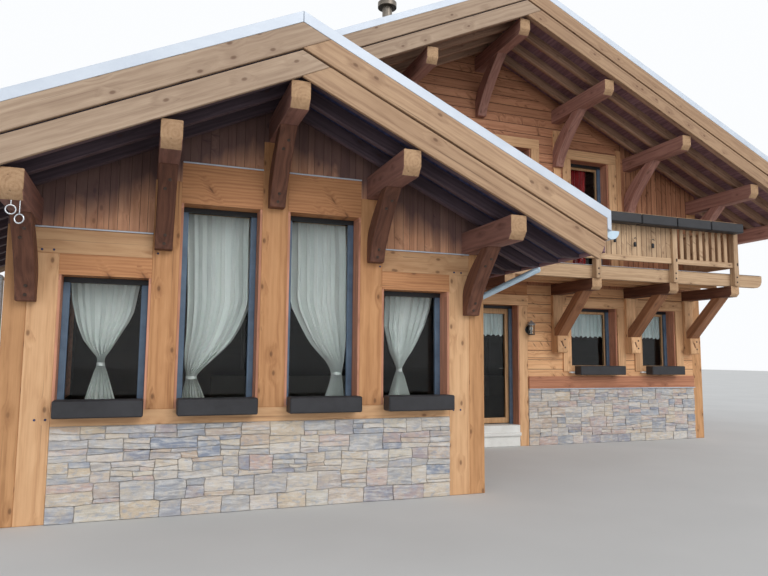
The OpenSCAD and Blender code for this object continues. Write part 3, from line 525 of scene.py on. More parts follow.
def stone_finish(name):
    """Split stone in grey, blue-grey, beige and pinkish tones, each with clouds and layers of its own."""
    f = Finish(name)
    tone = f.attribute("tone", "Fac")
    own = f.moved(f.place(), f.times(tone, 61.0))
    cloud = f.noise(own, 10.0, 4.0, 0.6)
    patch = f.noise(f.mapped(own, (1, 1, 1.7), (4, 9, 2)), 14.0, 3.0, 0.6)
    vein = f.noise(f.mapped(own, (5, 5, 30)), 1.0, 4.0, 0.6, 0.9)
    grit = f.noise(own, 90.0, 3.0, 0.6)
    base = f.ramp(tone, (0.0, rgb(148, 151, 158)), (0.13, rgb(198, 190, 180)), (0.26, rgb(200, 182, 158)),
        (0.38, rgb(156, 162, 173)), (0.50, rgb(190, 168, 148)), (0.62, rgb(206, 200, 192)),
        (0.74, rgb(190, 164, 154)), (0.87, rgb(134, 142, 158)), (1.0, rgb(206, 196, 178)))
    clouded = f.mix(f.spread(cloud, 0.46, 0.66, 0.0, 0.55), base, rgb(208, 194, 172))
    cool = f.mix(f.spread(patch, 0.50, 0.66, 0.0, 0.6), clouded, rgb(154, 163, 178))
    pale = f.mix(f.spread(vein, 0.48, 0.64, 0.0, 0.55), cool, rgb(220, 218, 214))
    layered = f.mix(f.spread(vein, 0.32, 0.44, 0.42, 0.0), pale, rgb(128, 126, 130))
    f.colour(f.mix(f.spread(grit, 0.30, 0.44, 0.25, 0.0), layered, rgb(124, 116, 108)))
    f.roughness(0.88)
    f.bump(f.plus(f.times(vein, 0.8), f.times(cloud, 0.5)), 0.014)
    return f.material


def mortar_finish(name):
    f = Finish(name)
    grit = f.noise(f.place(), 160.0, 3.0, 0.6)
    f.colour(f.ramp(grit, (0.3, rgb(172, 166, 158)), (0.7, rgb(206, 200, 190))))
    f.roughness(0.95)
    f.bump(grit, 0.003)
    return f.material


def metal_finish(name, light, dark, metal=0.0, gloss=0.42, patches=6.0):
    """Coated or dulled sheet metal with slight waves and water marks."""
    f = Finish(name)
    light, dark = (rgb(*colour) for colour in (light, dark))
    place = f.place()
    patch = f.noise(place, patches, 4.0, 0.6)
    mark = f.noise(f.mapped(place, (2.6, 2.6, 5.2)), 1.0, 4.0, 0.6)
    blend = f.plus(f.times(patch, 0.6), f.times(mark, 0.4))
    f.colour(f.ramp(blend, (0.36, dark), (0.62, light)))
    f.roughness(f.spread(patch, 0.3, 0.7, gloss - 0.07, gloss + 0.12))
    f.bump(f.noise(place, 3.0, 2.0), 0.004, 0.5)
    f.shader.inputs["Metallic"].default_value = metal
    return f.material


def cast_finish(name, light, dark, gloss=0.6):
    """Cast stone, screed or plaster: fine grit with soft clouds."""
    f = Finish(name)
    light, dark = (rgb(*colour) for colour in (light, dark))
    place = f.place()
    grit = f.noise(place, 220.0, 3.0, 0.6)
    cloud = f.noise(place, 5.0, 4.0, 0.6)
    f.colour(f.ramp(f.plus(f.times(grit, 0.4), f.times(cloud, 0.6)),
        (0.35, dark), (0.65, light)))
    f.roughness(f.spread(cloud, 0.3, 0.7, gloss, gloss + 0.2))
    f.bump(grit, 0.0012)
    return f.material


def glass_finish(name):
    f = Finish(name)
    streak = f.noise(f.mapped(f.place(), (2.5, 2.5, 1.2)), 1.0, 2.0)
    f.colour(f.ramp(streak, (0.3, (0.90, 0.94, 0.935, 1)), (0.7, (0.94, 0.965, 0.96, 1))))
    f.roughness(f.spread(streak, 0.3, 0.7, 0.015, 0.04))
    f.shader.inputs["Transmission Weight"].default_value = 1.0
    f.shader.inputs["IOR"].default_value = 1.25
    return f.material


def cloth_finish(name, light, dark, thin, weave=900.0, gloss=0.85):
    f = Finish(name)
    light, dark = (rgb(*colour) for colour in (light, dark))
    uv = f.attribute("thread", "Vector")
    threads = f.noise(f.mapped(uv, (weave, weave * 0.12, 1)), 1.0, 2.0)
    cross = f.noise(f.mapped(uv, (weave * 0.12, weave, 1)), 1.0, 2.0)
    both = f.times(threads, cross)
    slub = f.noise(f.mapped(uv, (30, 2, 1)), 1.0, 3.0)
    f.colour(f.ramp(f.plus(f.times(both, 1.0), f.times(slub, 0.5)),
        (0.3, dark), (0.66, light)))
    f.roughness(gloss)
    f.bump(both, 0.0006)
    f.shader.inputs["Sheen Weight"].default_value = 0.25
    f.shader.inputs["Subsurface Weight"].default_value = thin
    f.shader.inputs["Subsurface Radius"].default_value = (0.01, 0.01, 0.01)
    return f.material


HONEY = timber("oiled larch, honey", (230, 190, 148), (215, 172, 130), (178, 130, 90))
PLAIN = timber("oiled larch, plain", (214, 166, 120), (196, 148, 104), (156, 110, 72))
WARM = timber("oiled larch, warm", (206, 158, 113), (188, 138, 95), (148, 100, 62))
# Painted light: a lighter copy of the boards' finish for the front walls and the posts by the balcony door, lifting
# the shade that the balcony and eaves cast there
LIFTED_BOARDS = timber("oiled larch boards, painted lighter", (232, 190, 146), (218, 170, 126), (182, 128, 86), knots=0.9)
AMBER = timber("oiled larch boards, amber", (206, 154, 110), (188, 134, 92), (146, 94, 60), knots=0.9)
# Painted light and shade: the gable boards are painted paler to lift the dim light under the bay's roof, and darker
# close under the roof as painted shade
GABLE_LIFTED_AND_SHADED = timber("oiled boards under the bay's roof, painted light and shade", (234, 184, 148), (214, 160, 126), (172, 120, 90),
    knots=0.7, shade=painted_shade_under_the_roof)
UPPER = timber("oiled boards of the house gable", (206, 152, 118), (186, 132, 100), (140, 90, 64), knots=0.9)
AGED = timber("weathered larch, greyer", (194, 163, 132), (174, 143, 114), (136, 104, 80))
# Painted shade: a greyer copy of the verge boards' finish for their left halves
VERGE_LEFT_SHADE = timber("verge boards, left halves, painted greyer shade", (200, 178, 156), (181, 158, 136), (146, 122, 102))
BLEACHED = timber("weathered larch, pale", (210, 182, 150), (190, 160, 128), (152, 120, 92), knots=0.9)
NOSE = timber("end grain of the beams, pale", (202, 170, 136), (184, 150, 116), (150, 116, 86),
    knots=0.1, rings=0.10)
BROWN = timber("stained braces, brown", (178, 128, 94), (154, 108, 78), (110, 72, 50), knots=0.6)
DARK = timber("stained beams, dark", (126, 86, 68), (102, 67, 53), (68, 42, 33), knots=0.6)
# Painted light and shade: one stain in copies, darker and bluer for the bay's purlins and rafters, lighter for those
# of the house
BAY_BEAM_SHADED = timber("beams of the bay, painted shade", (160, 118, 106), (136, 98, 88), (96, 66, 60), knots=0.6)
HOUSE_BEAM_LIT = timber("beams of the house, painted lighter", (190, 144, 130), (166, 122, 110), (120, 84, 74), knots=0.7)
HOUSE_RAFTER_LIT = timber("rafters of the house, painted lighter", (186, 150, 126), (160, 128, 106), (118, 88, 72), knots=0.6)
# Painted shade: a dark blue-grey copy of the stain for the boards under the bay's eaves; the same finish serves as
# the dark stain of the pegs and the roof panels
DARK_STAIN_AND_BLUE_SHADE = timber("boards under the bay's eaves, painted blue shade", (74, 80, 116), (58, 62, 96), (40, 42, 68), knots=0.5)
BAY_RAFTER_SHADED = timber("rafters of the bay, painted shade", (106, 90, 98), (86, 72, 80), (60, 49, 56), knots=0.6)
# Painted light: a lighter copy of the stain for the boards under the house's eaves and the eave boards
HOUSE_UNDER_LIT = timber("boards under the house's eaves, painted lighter", (166, 130, 138), (140, 108, 116), (100, 74, 82),
    knots=0.6)
RUSSET = timber("stained boards, russet", (208, 150, 118), (188, 130, 100), (144, 92, 68), knots=0.6)
LINING = timber("window linings, brown", (222, 164, 134), (196, 140, 114), (150, 104, 82), knots=0.3)
JOINERY = timber("window joinery, tan", (220, 182, 140), (200, 160, 118), (166, 124, 86),
    knots=0.15, gloss=0.45)
# Painted shade: a dark finish for the grooves between boards, standing for the shade inside them
JOINT_SHADE = timber("open joints between boards, painted shade", (74, 50, 38), (56, 37, 29), (38, 25, 20), knots=0.0)
STONE = stone_finish("split rubble stone")
MORTAR = mortar_finish("joints of the stones")
ZINC = metal_finish("pale zinc edge", (208, 216, 226), (192, 201, 213), 0.1, 0.42, 2.5)
BLUE_ZINC = metal_finish("blue-grey zinc", (204, 224, 238), (180, 204, 218), 0.1, 0.36)
ROOF = metal_finish("roof sheet, dark", (92, 92, 94), (66, 66, 70), 0.3, 0.5, 2.0)
GUIDE = metal_finish("shutter guides, blue-grey", (98, 120, 142), (76, 96, 118), 0.1, 0.4)
BLACK = metal_finish("black coated metal", (40, 42, 46), (24, 26, 30), 0.1, 0.45)
STEEL = metal_finish("worn steel", (140, 132, 122), (92, 84, 76), 0.8, 0.4, 60.0)
BOLT = metal_finish("browned bolts", (96, 80, 70), (62, 50, 44), 0.5, 0.45, 60.0)
CHROME = metal_finish("bright rings", (220, 222, 226), (170, 174, 180), 0.9, 0.22, 40.0)
HOOD = metal_finish("silvery lamp hood", (176, 180, 184), (132, 136, 142), 0.6, 0.35, 20.0)
WHITE = cast_finish("white cast stone", (236, 236, 232), (216, 215, 210))
SCREED = cast_finish("floor screed", (128, 118, 106), (98, 90, 82))
INSIDE = timber("inner boards, dark", (72, 58, 48), (56, 44, 37), (40, 31, 26), knots=0.4)
PLANTER = metal_finish("planters, black", (46, 46, 50), (28, 28, 32), 0.0, 0.55, 14.0)
GLASS = glass_finish("window glass")
SHEER = cloth_finish("sheer curtain, pale green-grey", (246, 249, 247), (222, 229, 225), 0.5)
LACE = cloth_finish("half curtain, pale", (226, 236, 236), (196, 212, 214), 0.3)
HEAVY = cloth_finish("heavy curtain, taupe", (92, 84, 76), (66, 60, 54), 0.02)
RED_CLOTH = cloth_finish("curtain, red", (196, 48, 52), (138, 26, 34), 0.1)


# Timber work

def finish_timber(obj, seed, materials, node=None, board=False, body="root"):
    grain_of_timbers(obj, seed, board)
    smooth(obj)
    return finish_piece(obj, materials, node, body)


def timbers(node, material, seed, width=0.005, board=False):
    """Squared timbers with eased edges, each with its own grain."""
    obj = merged_copy(node, node + "_timber")
    round_edges(obj, width)
    return finish_timber(obj, seed, [material], node, board)


def near_a_seam(c, across, seams, reach):
    return min(abs(c.dot(across) - seam) for seam in seams) < reach


def groove(obj, mask, across, out, seams, gap, depth):
    """Parts a face into boards: cuts along each seam and sinks a narrow groove there."""
    edit(obj)
    for seam in seams:
        for edge in (seam - gap / 2, seam + gap / 2):
            if pick_faces(obj, lambda c, n: mask(c)):
                bpy.ops.mesh.bisect(plane_co=across * edge, plane_no=across)
    if pick_faces(obj, lambda c, n: n.dot(out) > 0.9 and mask(c)
            and near_a_seam(c, across, seams, gap * 0.45)):
        bpy.ops.mesh.inset(thickness=gap * 0.3, depth=-depth)
    put_down()


def seams_between(low, high, pitch=0.178, seed=0, uneven=0.0):
    """Places of the joints between boards of about the same width."""
    rng = random.Random(seed)
    count = max(1, round((high - low) / pitch))
    step = (high - low) / count
    return [low + step * (i + rng.uniform(-uneven, uneven)) for i in range(1, count)]


def boarded(node, material, runs, seed, gap=0.009, depth=0.010, joints=True):
    """A wall of boards. Each run is (mask, board direction, across, out, seams)."""
    obj = merged_copy(node, node + "_timber")
    for mask, along, across, out, seams in runs:
        groove(obj, mask, across, out, seams, gap, depth)
    grain_of_boards(obj, seed, runs)
    finish_piece(obj, [material], node)
    # Painted shade in the grooves, unless joints is false
    if joints:
        paint_shade_in_joints(obj, runs, gap)
    return obj


def face_with(obj, faces, material):
    """Gives the faces that are picked their own finish."""
    obj.data.materials.append(material)
    index = len(obj.data.materials) - 1
    edit(obj)
    if pick_faces(obj, faces):
        obj.active_material_index = index
        bpy.ops.object.material_slot_assign()
    put_down()


def paint_shade_in_joints(obj, runs, gap):
    """Paints shade into the grooves between the boards with a dark finish of their own."""
    face_with(obj, lambda c, n: any(n.dot(out) > 0.05 and mask(c) and near_a_seam(c, across, seams, gap * 0.5)
        for mask, along, across, out, seams in runs), JOINT_SHADE)


timbers("sill_beam", HONEY, 1)
timbers("corner_posts", PLAIN, 2)
timbers("jamb_posts", HONEY, 3)
timbers("window_posts", WARM, 4)
timbers("bay_rails", HONEY, 5)
timbers("casings", HONEY, 6, board=True)
timbers("skirt_boards", RUSSET, 7, board=True)
timbers("eave_arms", DARK, 8)
braces = timbers("braces", DARK, 9, 0.006)
rafters = timbers("rafters", BAY_RAFTER_SHADED, 10, 0.004)
timbers("eave_boards", HOUSE_UNDER_LIT, 11, 0.004, board=True)
beams = timbers("balcony_beams", DARK, 12)
timbers("balcony_brackets", HONEY, 13)
balcony_braces = timbers("balcony_braces", BROWN, 14, 0.006)
timbers("balcony_rim", BLEACHED, 15)
timbers("balcony_posts", BLEACHED, 16)
timbers("balcony_rails", BLEACHED, 17)
timbers("window_frames", JOINERY, 18, 0.004, board=True)
timbers("door_frame", JOINERY, 19, 0.003, board=True)


purlins = timbers("purlins", BAY_BEAM_SHADED, 20, width=0.006)


def widen(obj, middles, share):
    """Makes each timber wider across its own middle."""
    edit(obj)
    for middle in middles:
        if pick_faces(obj, lambda c, n: abs(c.x - middle) < 0.3):
            bpy.ops.transform.resize(value=(share, 1, 1), center_override=(middle, 0, 0))
    put_down()


def lit_part_of_the_house(c, n):
    """True for the timbers under the high roof, over and beside those of the bay. They get lighter copies of the
    finishes as painted light.
    """
    return c.y > -1.70 and (c.z > 4.55 or c.x > 3.5 or c.x < -3.5)


def noses(c, n):
    """True for the bare, paler end grain of beams that point to the front."""
    return n.y < -0.6


def verge_boards():
    """At each ridge the left boards run past the right ones, which butt under them. The upper boards stand
    proud of the lower ones, whose top edge is a little sunk."""
    obj = merged_copy("verge_boards", "verge_boards_timber")
    upright, upper, proud, sunk = 0.2567, 0.267, 0.007, 0.011
    run = upright / (2 * SLOPE)
    # Middle, height of the lower boards at the ridge, reach of the front boards along Y, start of the rear ones
    gables = ((0.0, 4.265, (-5.0, -4.568), math.inf), (HOUSE_RIDGE_X, 7.275, (-1.9, -1.58), 10.18))
    edit(obj)
    for middle, ridge, front, back in gables:
        for low in (ridge, ridge + upper):
            for side, level, rise in ((-1, low, 0.5), (1, low + upright, -0.5)):
                pick(obj, "VERT", lambda v: abs(v.co.x - middle - side * 0.002) < 0.001
                    and abs(v.co.z - level) < 0.004 and (within(v.co.y, *front) or v.co.y > back))
                bpy.ops.transform.translate(value=(run, 0, rise * upright))
    for middle, ridge, front, back in gables:
        def over(c, height):
            return c.z + abs(c.x - middle) * SLOPE - ridge - height
        if pick_faces(obj, lambda c, n: n.y < -0.9 and within(c.y, *front) and over(c, 0.26) > 0
                and abs(c.x - middle) < 7):
            bpy.ops.transform.translate(value=(0, -proud, 0))
        if pick_faces(obj, lambda c, n: n.z > 0.85 and within(c.y, *front) and over(c, 0.30) < 0
                and abs(c.x - middle) < 7):
            bpy.ops.transform.translate(value=(0, 0, -sunk))
    put_down()
    round_edges(obj, 0.005)
    finish_timber(obj, 21, [AGED], "verge_boards", board=True)
    # Painted shade: the left halves of the verge boards get the greyer copy
    face_with(obj, lambda c, n: c.x < (0.0 if c.y < -4 else HOUSE_RIDGE_X), VERGE_LEFT_SHADE)


widen(balcony_braces, BRACKETS, 1.18)
# Painted light: the house's purlins, braces and rafters get the lighter copies, and the bay's keep the darker ones
face_with(purlins, lit_part_of_the_house, HOUSE_BEAM_LIT)
face_with(purlins, noses, NOSE)
face_with(beams, noses, NOSE)
face_with(braces, lit_part_of_the_house, HOUSE_BEAM_LIT)
face_with(rafters, lit_part_of_the_house, HOUSE_RAFTER_LIT)
verge_boards()
boarded("lintels", AMBER, [(lambda c: c.y < -1, X, Z, -Y, [2.95]), (lambda c: c.y > -1, X, Z, -Y, [2.765])],
    22, gap=0.005, depth=0.005)


# Boarded walls, with a darker lining inside and in the openings

def everywhere(c):
    return True


def sides_of_holes(*holes):
    """Picks the sides of holes in the front walls, each given by its reach along X and up."""
    return lambda c, n: abs(n.y) < 0.1 and within(c.y, 0.01, 0.37) and any(
        within(c.x, *reach) and within(c.z, *height) for reach, height in holes)


def side_holes(c, n):
    """True for the sides of the holes in the side walls, but not for the walls' own ends."""
    depth = min(abs(c.x + BAY_HALF), abs(c.x - HOUSE_RIGHT), abs(c.x - HOUSE_LEFT))
    at_an_end = abs(n.y) > 0.5 and (c.y < -3.0 or c.y > 8.1 or within(c.y, -0.1, 0.5))
    return abs(n.x) < 0.1 and within(depth, 0.02, 0.36) and within(c.z, 1.03, 2.6) and not at_an_end


def inner_sides(c, n):
    """True for the inner faces of the side walls."""
    return (n.x > 0.9 and (c.x < -2.1 or within(c.x, -0.4, -0.2))) or (
        n.x < -0.9 and (c.x > 9.1 or within(c.x, 2.1, 2.3)))


def walls():
    bay = boarded("bay_gable_boards", GABLE_LIFTED_AND_SHADED, [
        (everywhere, Z, X, -Y, seams_between(-BAY_HALF, BAY_HALF, 0.097, 30, 0.15))],
        30, gap=0.0035, depth=0.0035)
    front = boarded("front_walls", LIFTED_BOARDS, [(everywhere, X, Z, -Y, seams_between(0.0, 2.96))], 31)
    face_with(front, sides_of_holes(((6.3, 9.0), (1.3, 2.6))), LINING)
    upright_from = 7.55
    gable = boarded("house_gable", UPPER, [
        (lambda c: c.x < upright_from, X, Z, -Y, seams_between(2.96, 7.45, 0.172)),
        (lambda c: c.x >= upright_from, Z, X, -Y, seams_between(upright_from, HOUSE_RIGHT, 0.125, 32, 0.05))],
        32)
    face_with(gable, sides_of_holes(((3.3, 5.6), (4.9, 5.65)), ((6.4, 7.4), (3.1, 5.55))), LINING)
    for wall in (bay, front, gable):
        face_with(wall, lambda c, n: n.y > 0.9, INSIDE)
    side = boarded("side_walls", AMBER, [
        (lambda c: c.x < -2.0, Y, Z, -X, seams_between(0.9, 3.3)),
        (lambda c: 2.0 < c.x < 2.7, Y, Z, X, seams_between(0.9, 3.3)),
        (lambda c: c.x > 9.0, Y, Z, X, seams_between(1.0, 5.3)),
        (lambda c: -0.8 < c.x < 0, Y, Z, -X, seams_between(1.0, 5.3))], 33)
    face_with(side, side_holes, LINING)
    face_with(side, inner_sides, INSIDE)
    back = boarded("back_walls", AMBER, [
        (lambda c: c.y > 8.0, X, Z, Y, seams_between(1.0, 7.45)),
        (lambda c: c.y < 1.0, X, Z, Y, seams_between(0.9, 4.2))], 34)
    face_with(back, lambda c, n: n.y < -0.9, INSIDE)


def soffits():
    """Boards on the rafters that run level, parallel to the ridges. The bay's get a dark blue-grey copy of the stain
    as painted shade, and the house's a lighter copy as painted light.
    """
    def of_the_bay(c):
        return c.y < 0.0 and abs(c.x) < 3.46 and c.z < 4.46 - abs(c.x) * SLOPE

    runs = []
    for low_roof, middle, reach in ((True, 0.0, 3.45), (False, HOUSE_RIDGE_X, 6.56)):
        for side in (-1, 1):
            def half(c, low_roof=low_roof, middle=middle, side=side):
                return of_the_bay(c) == low_roof and (c.x - middle) * side > 0
            seams = sorted(middle + side * place for place in seams_between(0.0, reach, 0.135))
            runs.append((half, Y, X, -Z, seams))
    obj = boarded("soffit", DARK_STAIN_AND_BLUE_SHADE, runs, 35, 0.006, 0.006, joints=False)
    face_with(obj, lambda c, n: not of_the_bay(c), HOUSE_UNDER_LIT)


def infill():
    """Closed boards of the balcony with open joints, and its balusters."""
    obj = merged_copy("balcony_infill", "balcony_infill_timber")
    runs = [(lambda c: c.x < 7.7 and c.y < -1.19, Z, X, -Y, seams_between(4.375, 7.705, 0.112)),
        (lambda c: c.y > -1.175, Z, Y, X, seams_between(-1.176, 0.0, 0.117))]
    balusters = (lambda c: c.x >= 7.7 and c.y < -1.19, Z, X, -Y, [7.87 + 0.152 * i for i in range(9)])
    for mask, along, across, out, seams in runs:
        groove(obj, mask, across, out, seams, 0.008, 0.012)
    round_edges(obj, 0.004, 1, 60)
    grain_of_boards(obj, 37, runs + [balusters])
    smooth(obj)
    finish_piece(obj, [BLEACHED], "balcony_infill")
    paint_shade_in_joints(obj, runs, 0.008)


walls()
soffits()
boarded("balcony_deck", HONEY, [(lambda c: c.z > 3.17, X, Y, Z, seams_between(-1.086, -0.028, 0.14))],
    36, gap=0.008, depth=0.01, joints=False)
infill()


# Stonework

# How far the faces of the stones may stand out
STONE_RELIEF = (0.003, 0.006, 0.009, 0.013, 0.018)


def off_the_edges(point, width, height, margin):
    return within(point.x, margin, width - margin) and within(point.z, margin, height - margin)


def shake(obj, width, height, reach, seed, shortest=0.0):
    """Moves the inner corners of a flat net of stones in its plane, apart from those at a short edge."""
    pick(obj, "VERT", lambda v: off_the_edges(v.co, width, height, 0.012)
        and all(e.calc_length() > shortest for e in v.link_edges))
    bpy.ops.transform.vertex_random(offset=reach, uniform=1.0, normal=0.0, seed=seed)
    pick_all()
    bpy.ops.transform.resize(value=(1, 0, 1), center_override=(0, 0, 0))
    bpy.ops.mesh.select_mode(type="FACE")


def more_corners(obj):
    """Divides the long edges of flat stones. Their faces come off first and are filled in again after it."""
    edit(obj)
    pick_all()
    bpy.ops.mesh.delete(type="ONLY_FACE")
    for longest, cuts in ((0.12, 2), (0.045, 1)):
        pick(obj, "EDGE", lambda e: e.calc_length() > longest)
        bpy.ops.mesh.subdivide(number_cuts=cuts)
    pick_all()
    bpy.ops.mesh.edge_face_add()
    if pick_faces(obj, lambda c, n: n.y > 0):
        bpy.ops.mesh.flip_normals()


def cut_into_stones(obj, width, height, rng):
    """Divides a flat wall into a foot course and, over it, blocks that are parted again and again."""
    def cut(x0, x1, z0, z1, across, line):
        pick_faces(obj, lambda c, n: x0 < c.x < x1 and z0 < c.z < z1)
        bpy.ops.mesh.bisect(plane_co=across * line, plane_no=across)

    def lay(x0, x1, z0, z1):
        w, h = x1 - x0, z1 - z0
        upright = False
        if h > 0.30 and w > 0.8 and rng.random() < 0.45:
            share = rng.uniform(0.36, 0.64)
        elif (w > 0.46 and w > 1.3 * h) or (w > 7 * h and w > 0.32) or (h > 0.13 and w > 2.4 * h):
            upright = True
            share = rng.uniform(0.30, 0.70)
        elif h > 0.20 or (h > 0.12 and w > 0.14 and rng.random() < 0.6) or (
                h > 0.09 and w > 0.20 and rng.random() < 0.4):
            share = rng.uniform(0.36, 0.64) if h < 0.13 or rng.random() < 0.5 else rng.uniform(0.25, 0.36)
        else:
            return
        line = x0 + w * share if upright else z0 + h * share
        cut(x0, x1, z0, z1, X if upright else Z, line)
        lay(x0, line if upright else x1, z0, z1 if upright else line)
        lay(line if upright else x0, x1, z0 if upright else line, z1)

    foot = rng.uniform(0.15, 0.18)
    cut(0, width, 0, height, Z, foot)
    lay(0.0, width, foot, height)
    place = 0.0
    while width - place > 0.55:
        step = rng.uniform(0.20, 0.42)
        cut(place, width, 0, foot, X, place + step)
        place += step


def stone_skin(name, width, height, seed):
    """Split stones with uneven, rounded outlines, facing -Y, with the lower left corner at the origin."""
    smallest, joint, corner, thick = 0.026, 0.0052, 0.009, 0.03
    put_down()
    bpy.ops.mesh.primitive_plane_add(size=1, location=(width / 2, 0, height / 2),
        rotation=(math.pi / 2, 0, 0))
    obj = started(name, (width, height, 1))
    edit(obj)
    cut_into_stones(obj, width, height, random.Random(seed))
    merge(smallest)
    shake(obj, width, height, 0.010, seed)
    merge(0.018)
    pick_all()
    bpy.ops.mesh.edge_split(type="EDGE")
    pick_all()
    bpy.ops.mesh.inset(thickness=joint / 2, use_individual=True, use_even_offset=False)
    bpy.ops.mesh.select_all(action="INVERT")
    bpy.ops.mesh.delete(type="FACE")
    put_down()
    corners = obj.modifiers.new("corners", "BEVEL")
    corners.affect = "VERTICES"
    corners.limit_method = "NONE"
    corners.width = corner
    corners.segments = 2
    corners.use_clamp_overlap = True
    apply_modifiers(obj)
    more_corners(obj)
    shake(obj, width, height, 0.0030, seed + 1, 0.014)
    put_down()
    mesh = obj.data
    count = len(mesh.polygons)
    chance = np.random.default_rng(seed)
    tone = chance.uniform(0, 1, count)
    group = chance.integers(0, len(STONE_RELIEF), count).astype(np.int32)
    mesh.attributes.new("tone", "FLOAT", "FACE").data.foreach_set("value", tone)
    mesh.attributes.new("group", "INT", "FACE").data.foreach_set("value", group)
    thicken(obj, thick)
    edit(obj)
    layer = bmesh.from_edit_mesh(mesh).faces.layers.int["group"]
    for number, depth in enumerate(STONE_RELIEF):
        pick(obj, "FACE", lambda face: face[layer] == number and face.normal.y < -0.9
            and face.calc_center_median().y < 0.001)
        bpy.ops.mesh.inset(thickness=0.0008, depth=depth, use_individual=True)
        bpy.ops.mesh.inset(thickness=0.0030, depth=0.0030, use_individual=True)
    put_down()
    mesh.attributes.remove(mesh.attributes["group"])
    edit(obj)
    pick(obj, "VERT", lambda v: v.co.y < -0.008 and off_the_edges(v.co, width, height, 0.01))
    bpy.ops.transform.vertex_random(offset=0.0014, uniform=0.0, normal=1.0, seed=seed)
    put_down()
    return obj


# Each wall of stones as (name, lower left corner seen from outside, turn, width, height, seed)
STONE_WALLS = [
    ("stones_bay_front", (-2.115, BAY_FRONT, 0), 0, 4.23, BAY_STONE, 50),
    ("stones_bay_left", (-BAY_HALF, -0.002, 0), -math.pi / 2, 3.095, BAY_STONE, 351),
    ("stones_bay_right", (BAY_HALF, BAY_FRONT + 0.382, 0), math.pi / 2, 3.095, BAY_STONE, 252),
    ("stones_house_front_left", (2.585, 0, 0), 0, 1.478, HOUSE_STONE, 453),
    ("stones_house_front_right", (5.431, 0, 0), 0, 3.932, HOUSE_STONE, 354),
    ("stones_house_right", (HOUSE_RIGHT, 0.382, 0), math.pi / 2, 7.836, HOUSE_STONE, 255),
    ("stones_house_left", (HOUSE_LEFT, 8.218, 0), -math.pi / 2, 7.836, HOUSE_STONE, 256),
    ("stones_house_back", (9.363, HOUSE_DEPTH, 0), math.pi, 9.826, HOUSE_STONE, 157),
    ("stones_bay_back", (-0.707, 0, 0), math.pi, 1.49, BAY_STONE, 158)]
for name, corner, turn, width, height, seed in STONE_WALLS:
    stones = stone_skin(name, width, height, seed)
    stones.data.transform(at(*corner) @ turned(turn, "Z") @ at(0, -0.004, 0))
    smooth(stones, 28)
    finish_piece(stones, [STONE])


# Metal work

def sheet_metal(node, name, materials, width=0.003):
    obj = merged_copy(node, name)
    round_edges(obj, width)
    smooth(obj)
    return finish_piece(obj, materials, node)


sheet_metal("verge_metal", "verge_metal_folded", [ZINC])
sheet_metal("drip_strips", "drip_strips_folded", [ZINC])
sheet_metal("window_sills", "window_sills_stone", [WHITE], 0.006)
sheet_metal("door_threshold", "door_threshold_stone", [WHITE], 0.008)
sheet_metal("flower_boxes", "flower_boxes_planters", [PLANTER], 0.012)

# Nodes that keep their own mesh
for node, material in (("gable_stone", MORTAR), ("side_stone", MORTAR), ("gutters", BLUE_ZINC),
        ("downpipes", BLUE_ZINC), ("window_glass", GLASS), ("terrace_door_glass", GLASS), ("bay_floor", SCREED),
        ("house_floor", SCREED), ("upper_floor", SCREED), ("roof_panels", DARK_STAIN_AND_BLUE_SHADE), ("flue", STEEL)):
    NODES[node].data.materials.clear()
    NODES[node].data.materials.append(material)


def shutters():
    """Roller shutters drawn up to the heads of the openings, with blue-grey guides. The boxes at the heads are black
    as painted shade of the recess under the lintels.
    """
    obj = sheet_metal("shutter_boxes", "shutter_boxes_metal", [GUIDE, BLACK])
    part = loose_parts(obj.data)
    co = corner_data(obj.data)[0]
    low = np.array([np.ptp(co[part == i][:, 2]) < 0.2 for i in range(part.max() + 1)])
    # Painted shade: the low parts, the boxes at the heads, get the black finish
    for polygon in obj.data.polygons:
        polygon.material_index = int(low[part[polygon.vertices[0]]])


def seamed_roof():
    """Roof sheets whose standing seams are folded over along their tops."""
    def seam_top(c, n):
        if abs(n.x) < 0.1 or n.z < 0.8:
            return False
        sheet = BAY_RIDGE + ROOF_TOP - abs(c.x) * SLOPE
        if not (c.y < 0 and abs(c.x) < 3.6 and c.z < min(5.0, sheet + 0.04)):
            sheet = HOUSE_RIDGE + ROOF_TOP - abs(c.x - HOUSE_RIDGE_X) * SLOPE
        return c.z > sheet + 0.015

    obj = merged_copy("roof_covering", "roof_covering_sheet")
    edit(obj)
    if pick_faces(obj, seam_top):
        for depth in (0.0, 0.006):
            bpy.ops.mesh.inset(thickness=0.003, depth=depth, use_individual=True, use_even_offset=False)
    put_down()
    round_edges(obj, 0.002)
    smooth(obj)
    finish_piece(obj, [ROOF], "roof_covering")


shutters()
seamed_roof()


# Fittings

FRONT = Matrix.Identity(4)
BAY_WALL = at(0, BAY_FRONT, 0)
BAY_LEFT = at(-BAY_HALF, 0, 0) @ turned(-math.pi / 2, "Z")
RIGHT_WALL = at(HOUSE_RIGHT, 0, 0) @ turned(math.pi / 2, "Z")
LEFT_WALL = at(HOUSE_LEFT, HOUSE_DEPTH, 0) @ turned(-math.pi / 2, "Z")
BACK_WALL = at(HOUSE_RIGHT, HOUSE_DEPTH, 0) @ turned(math.pi, "Z")

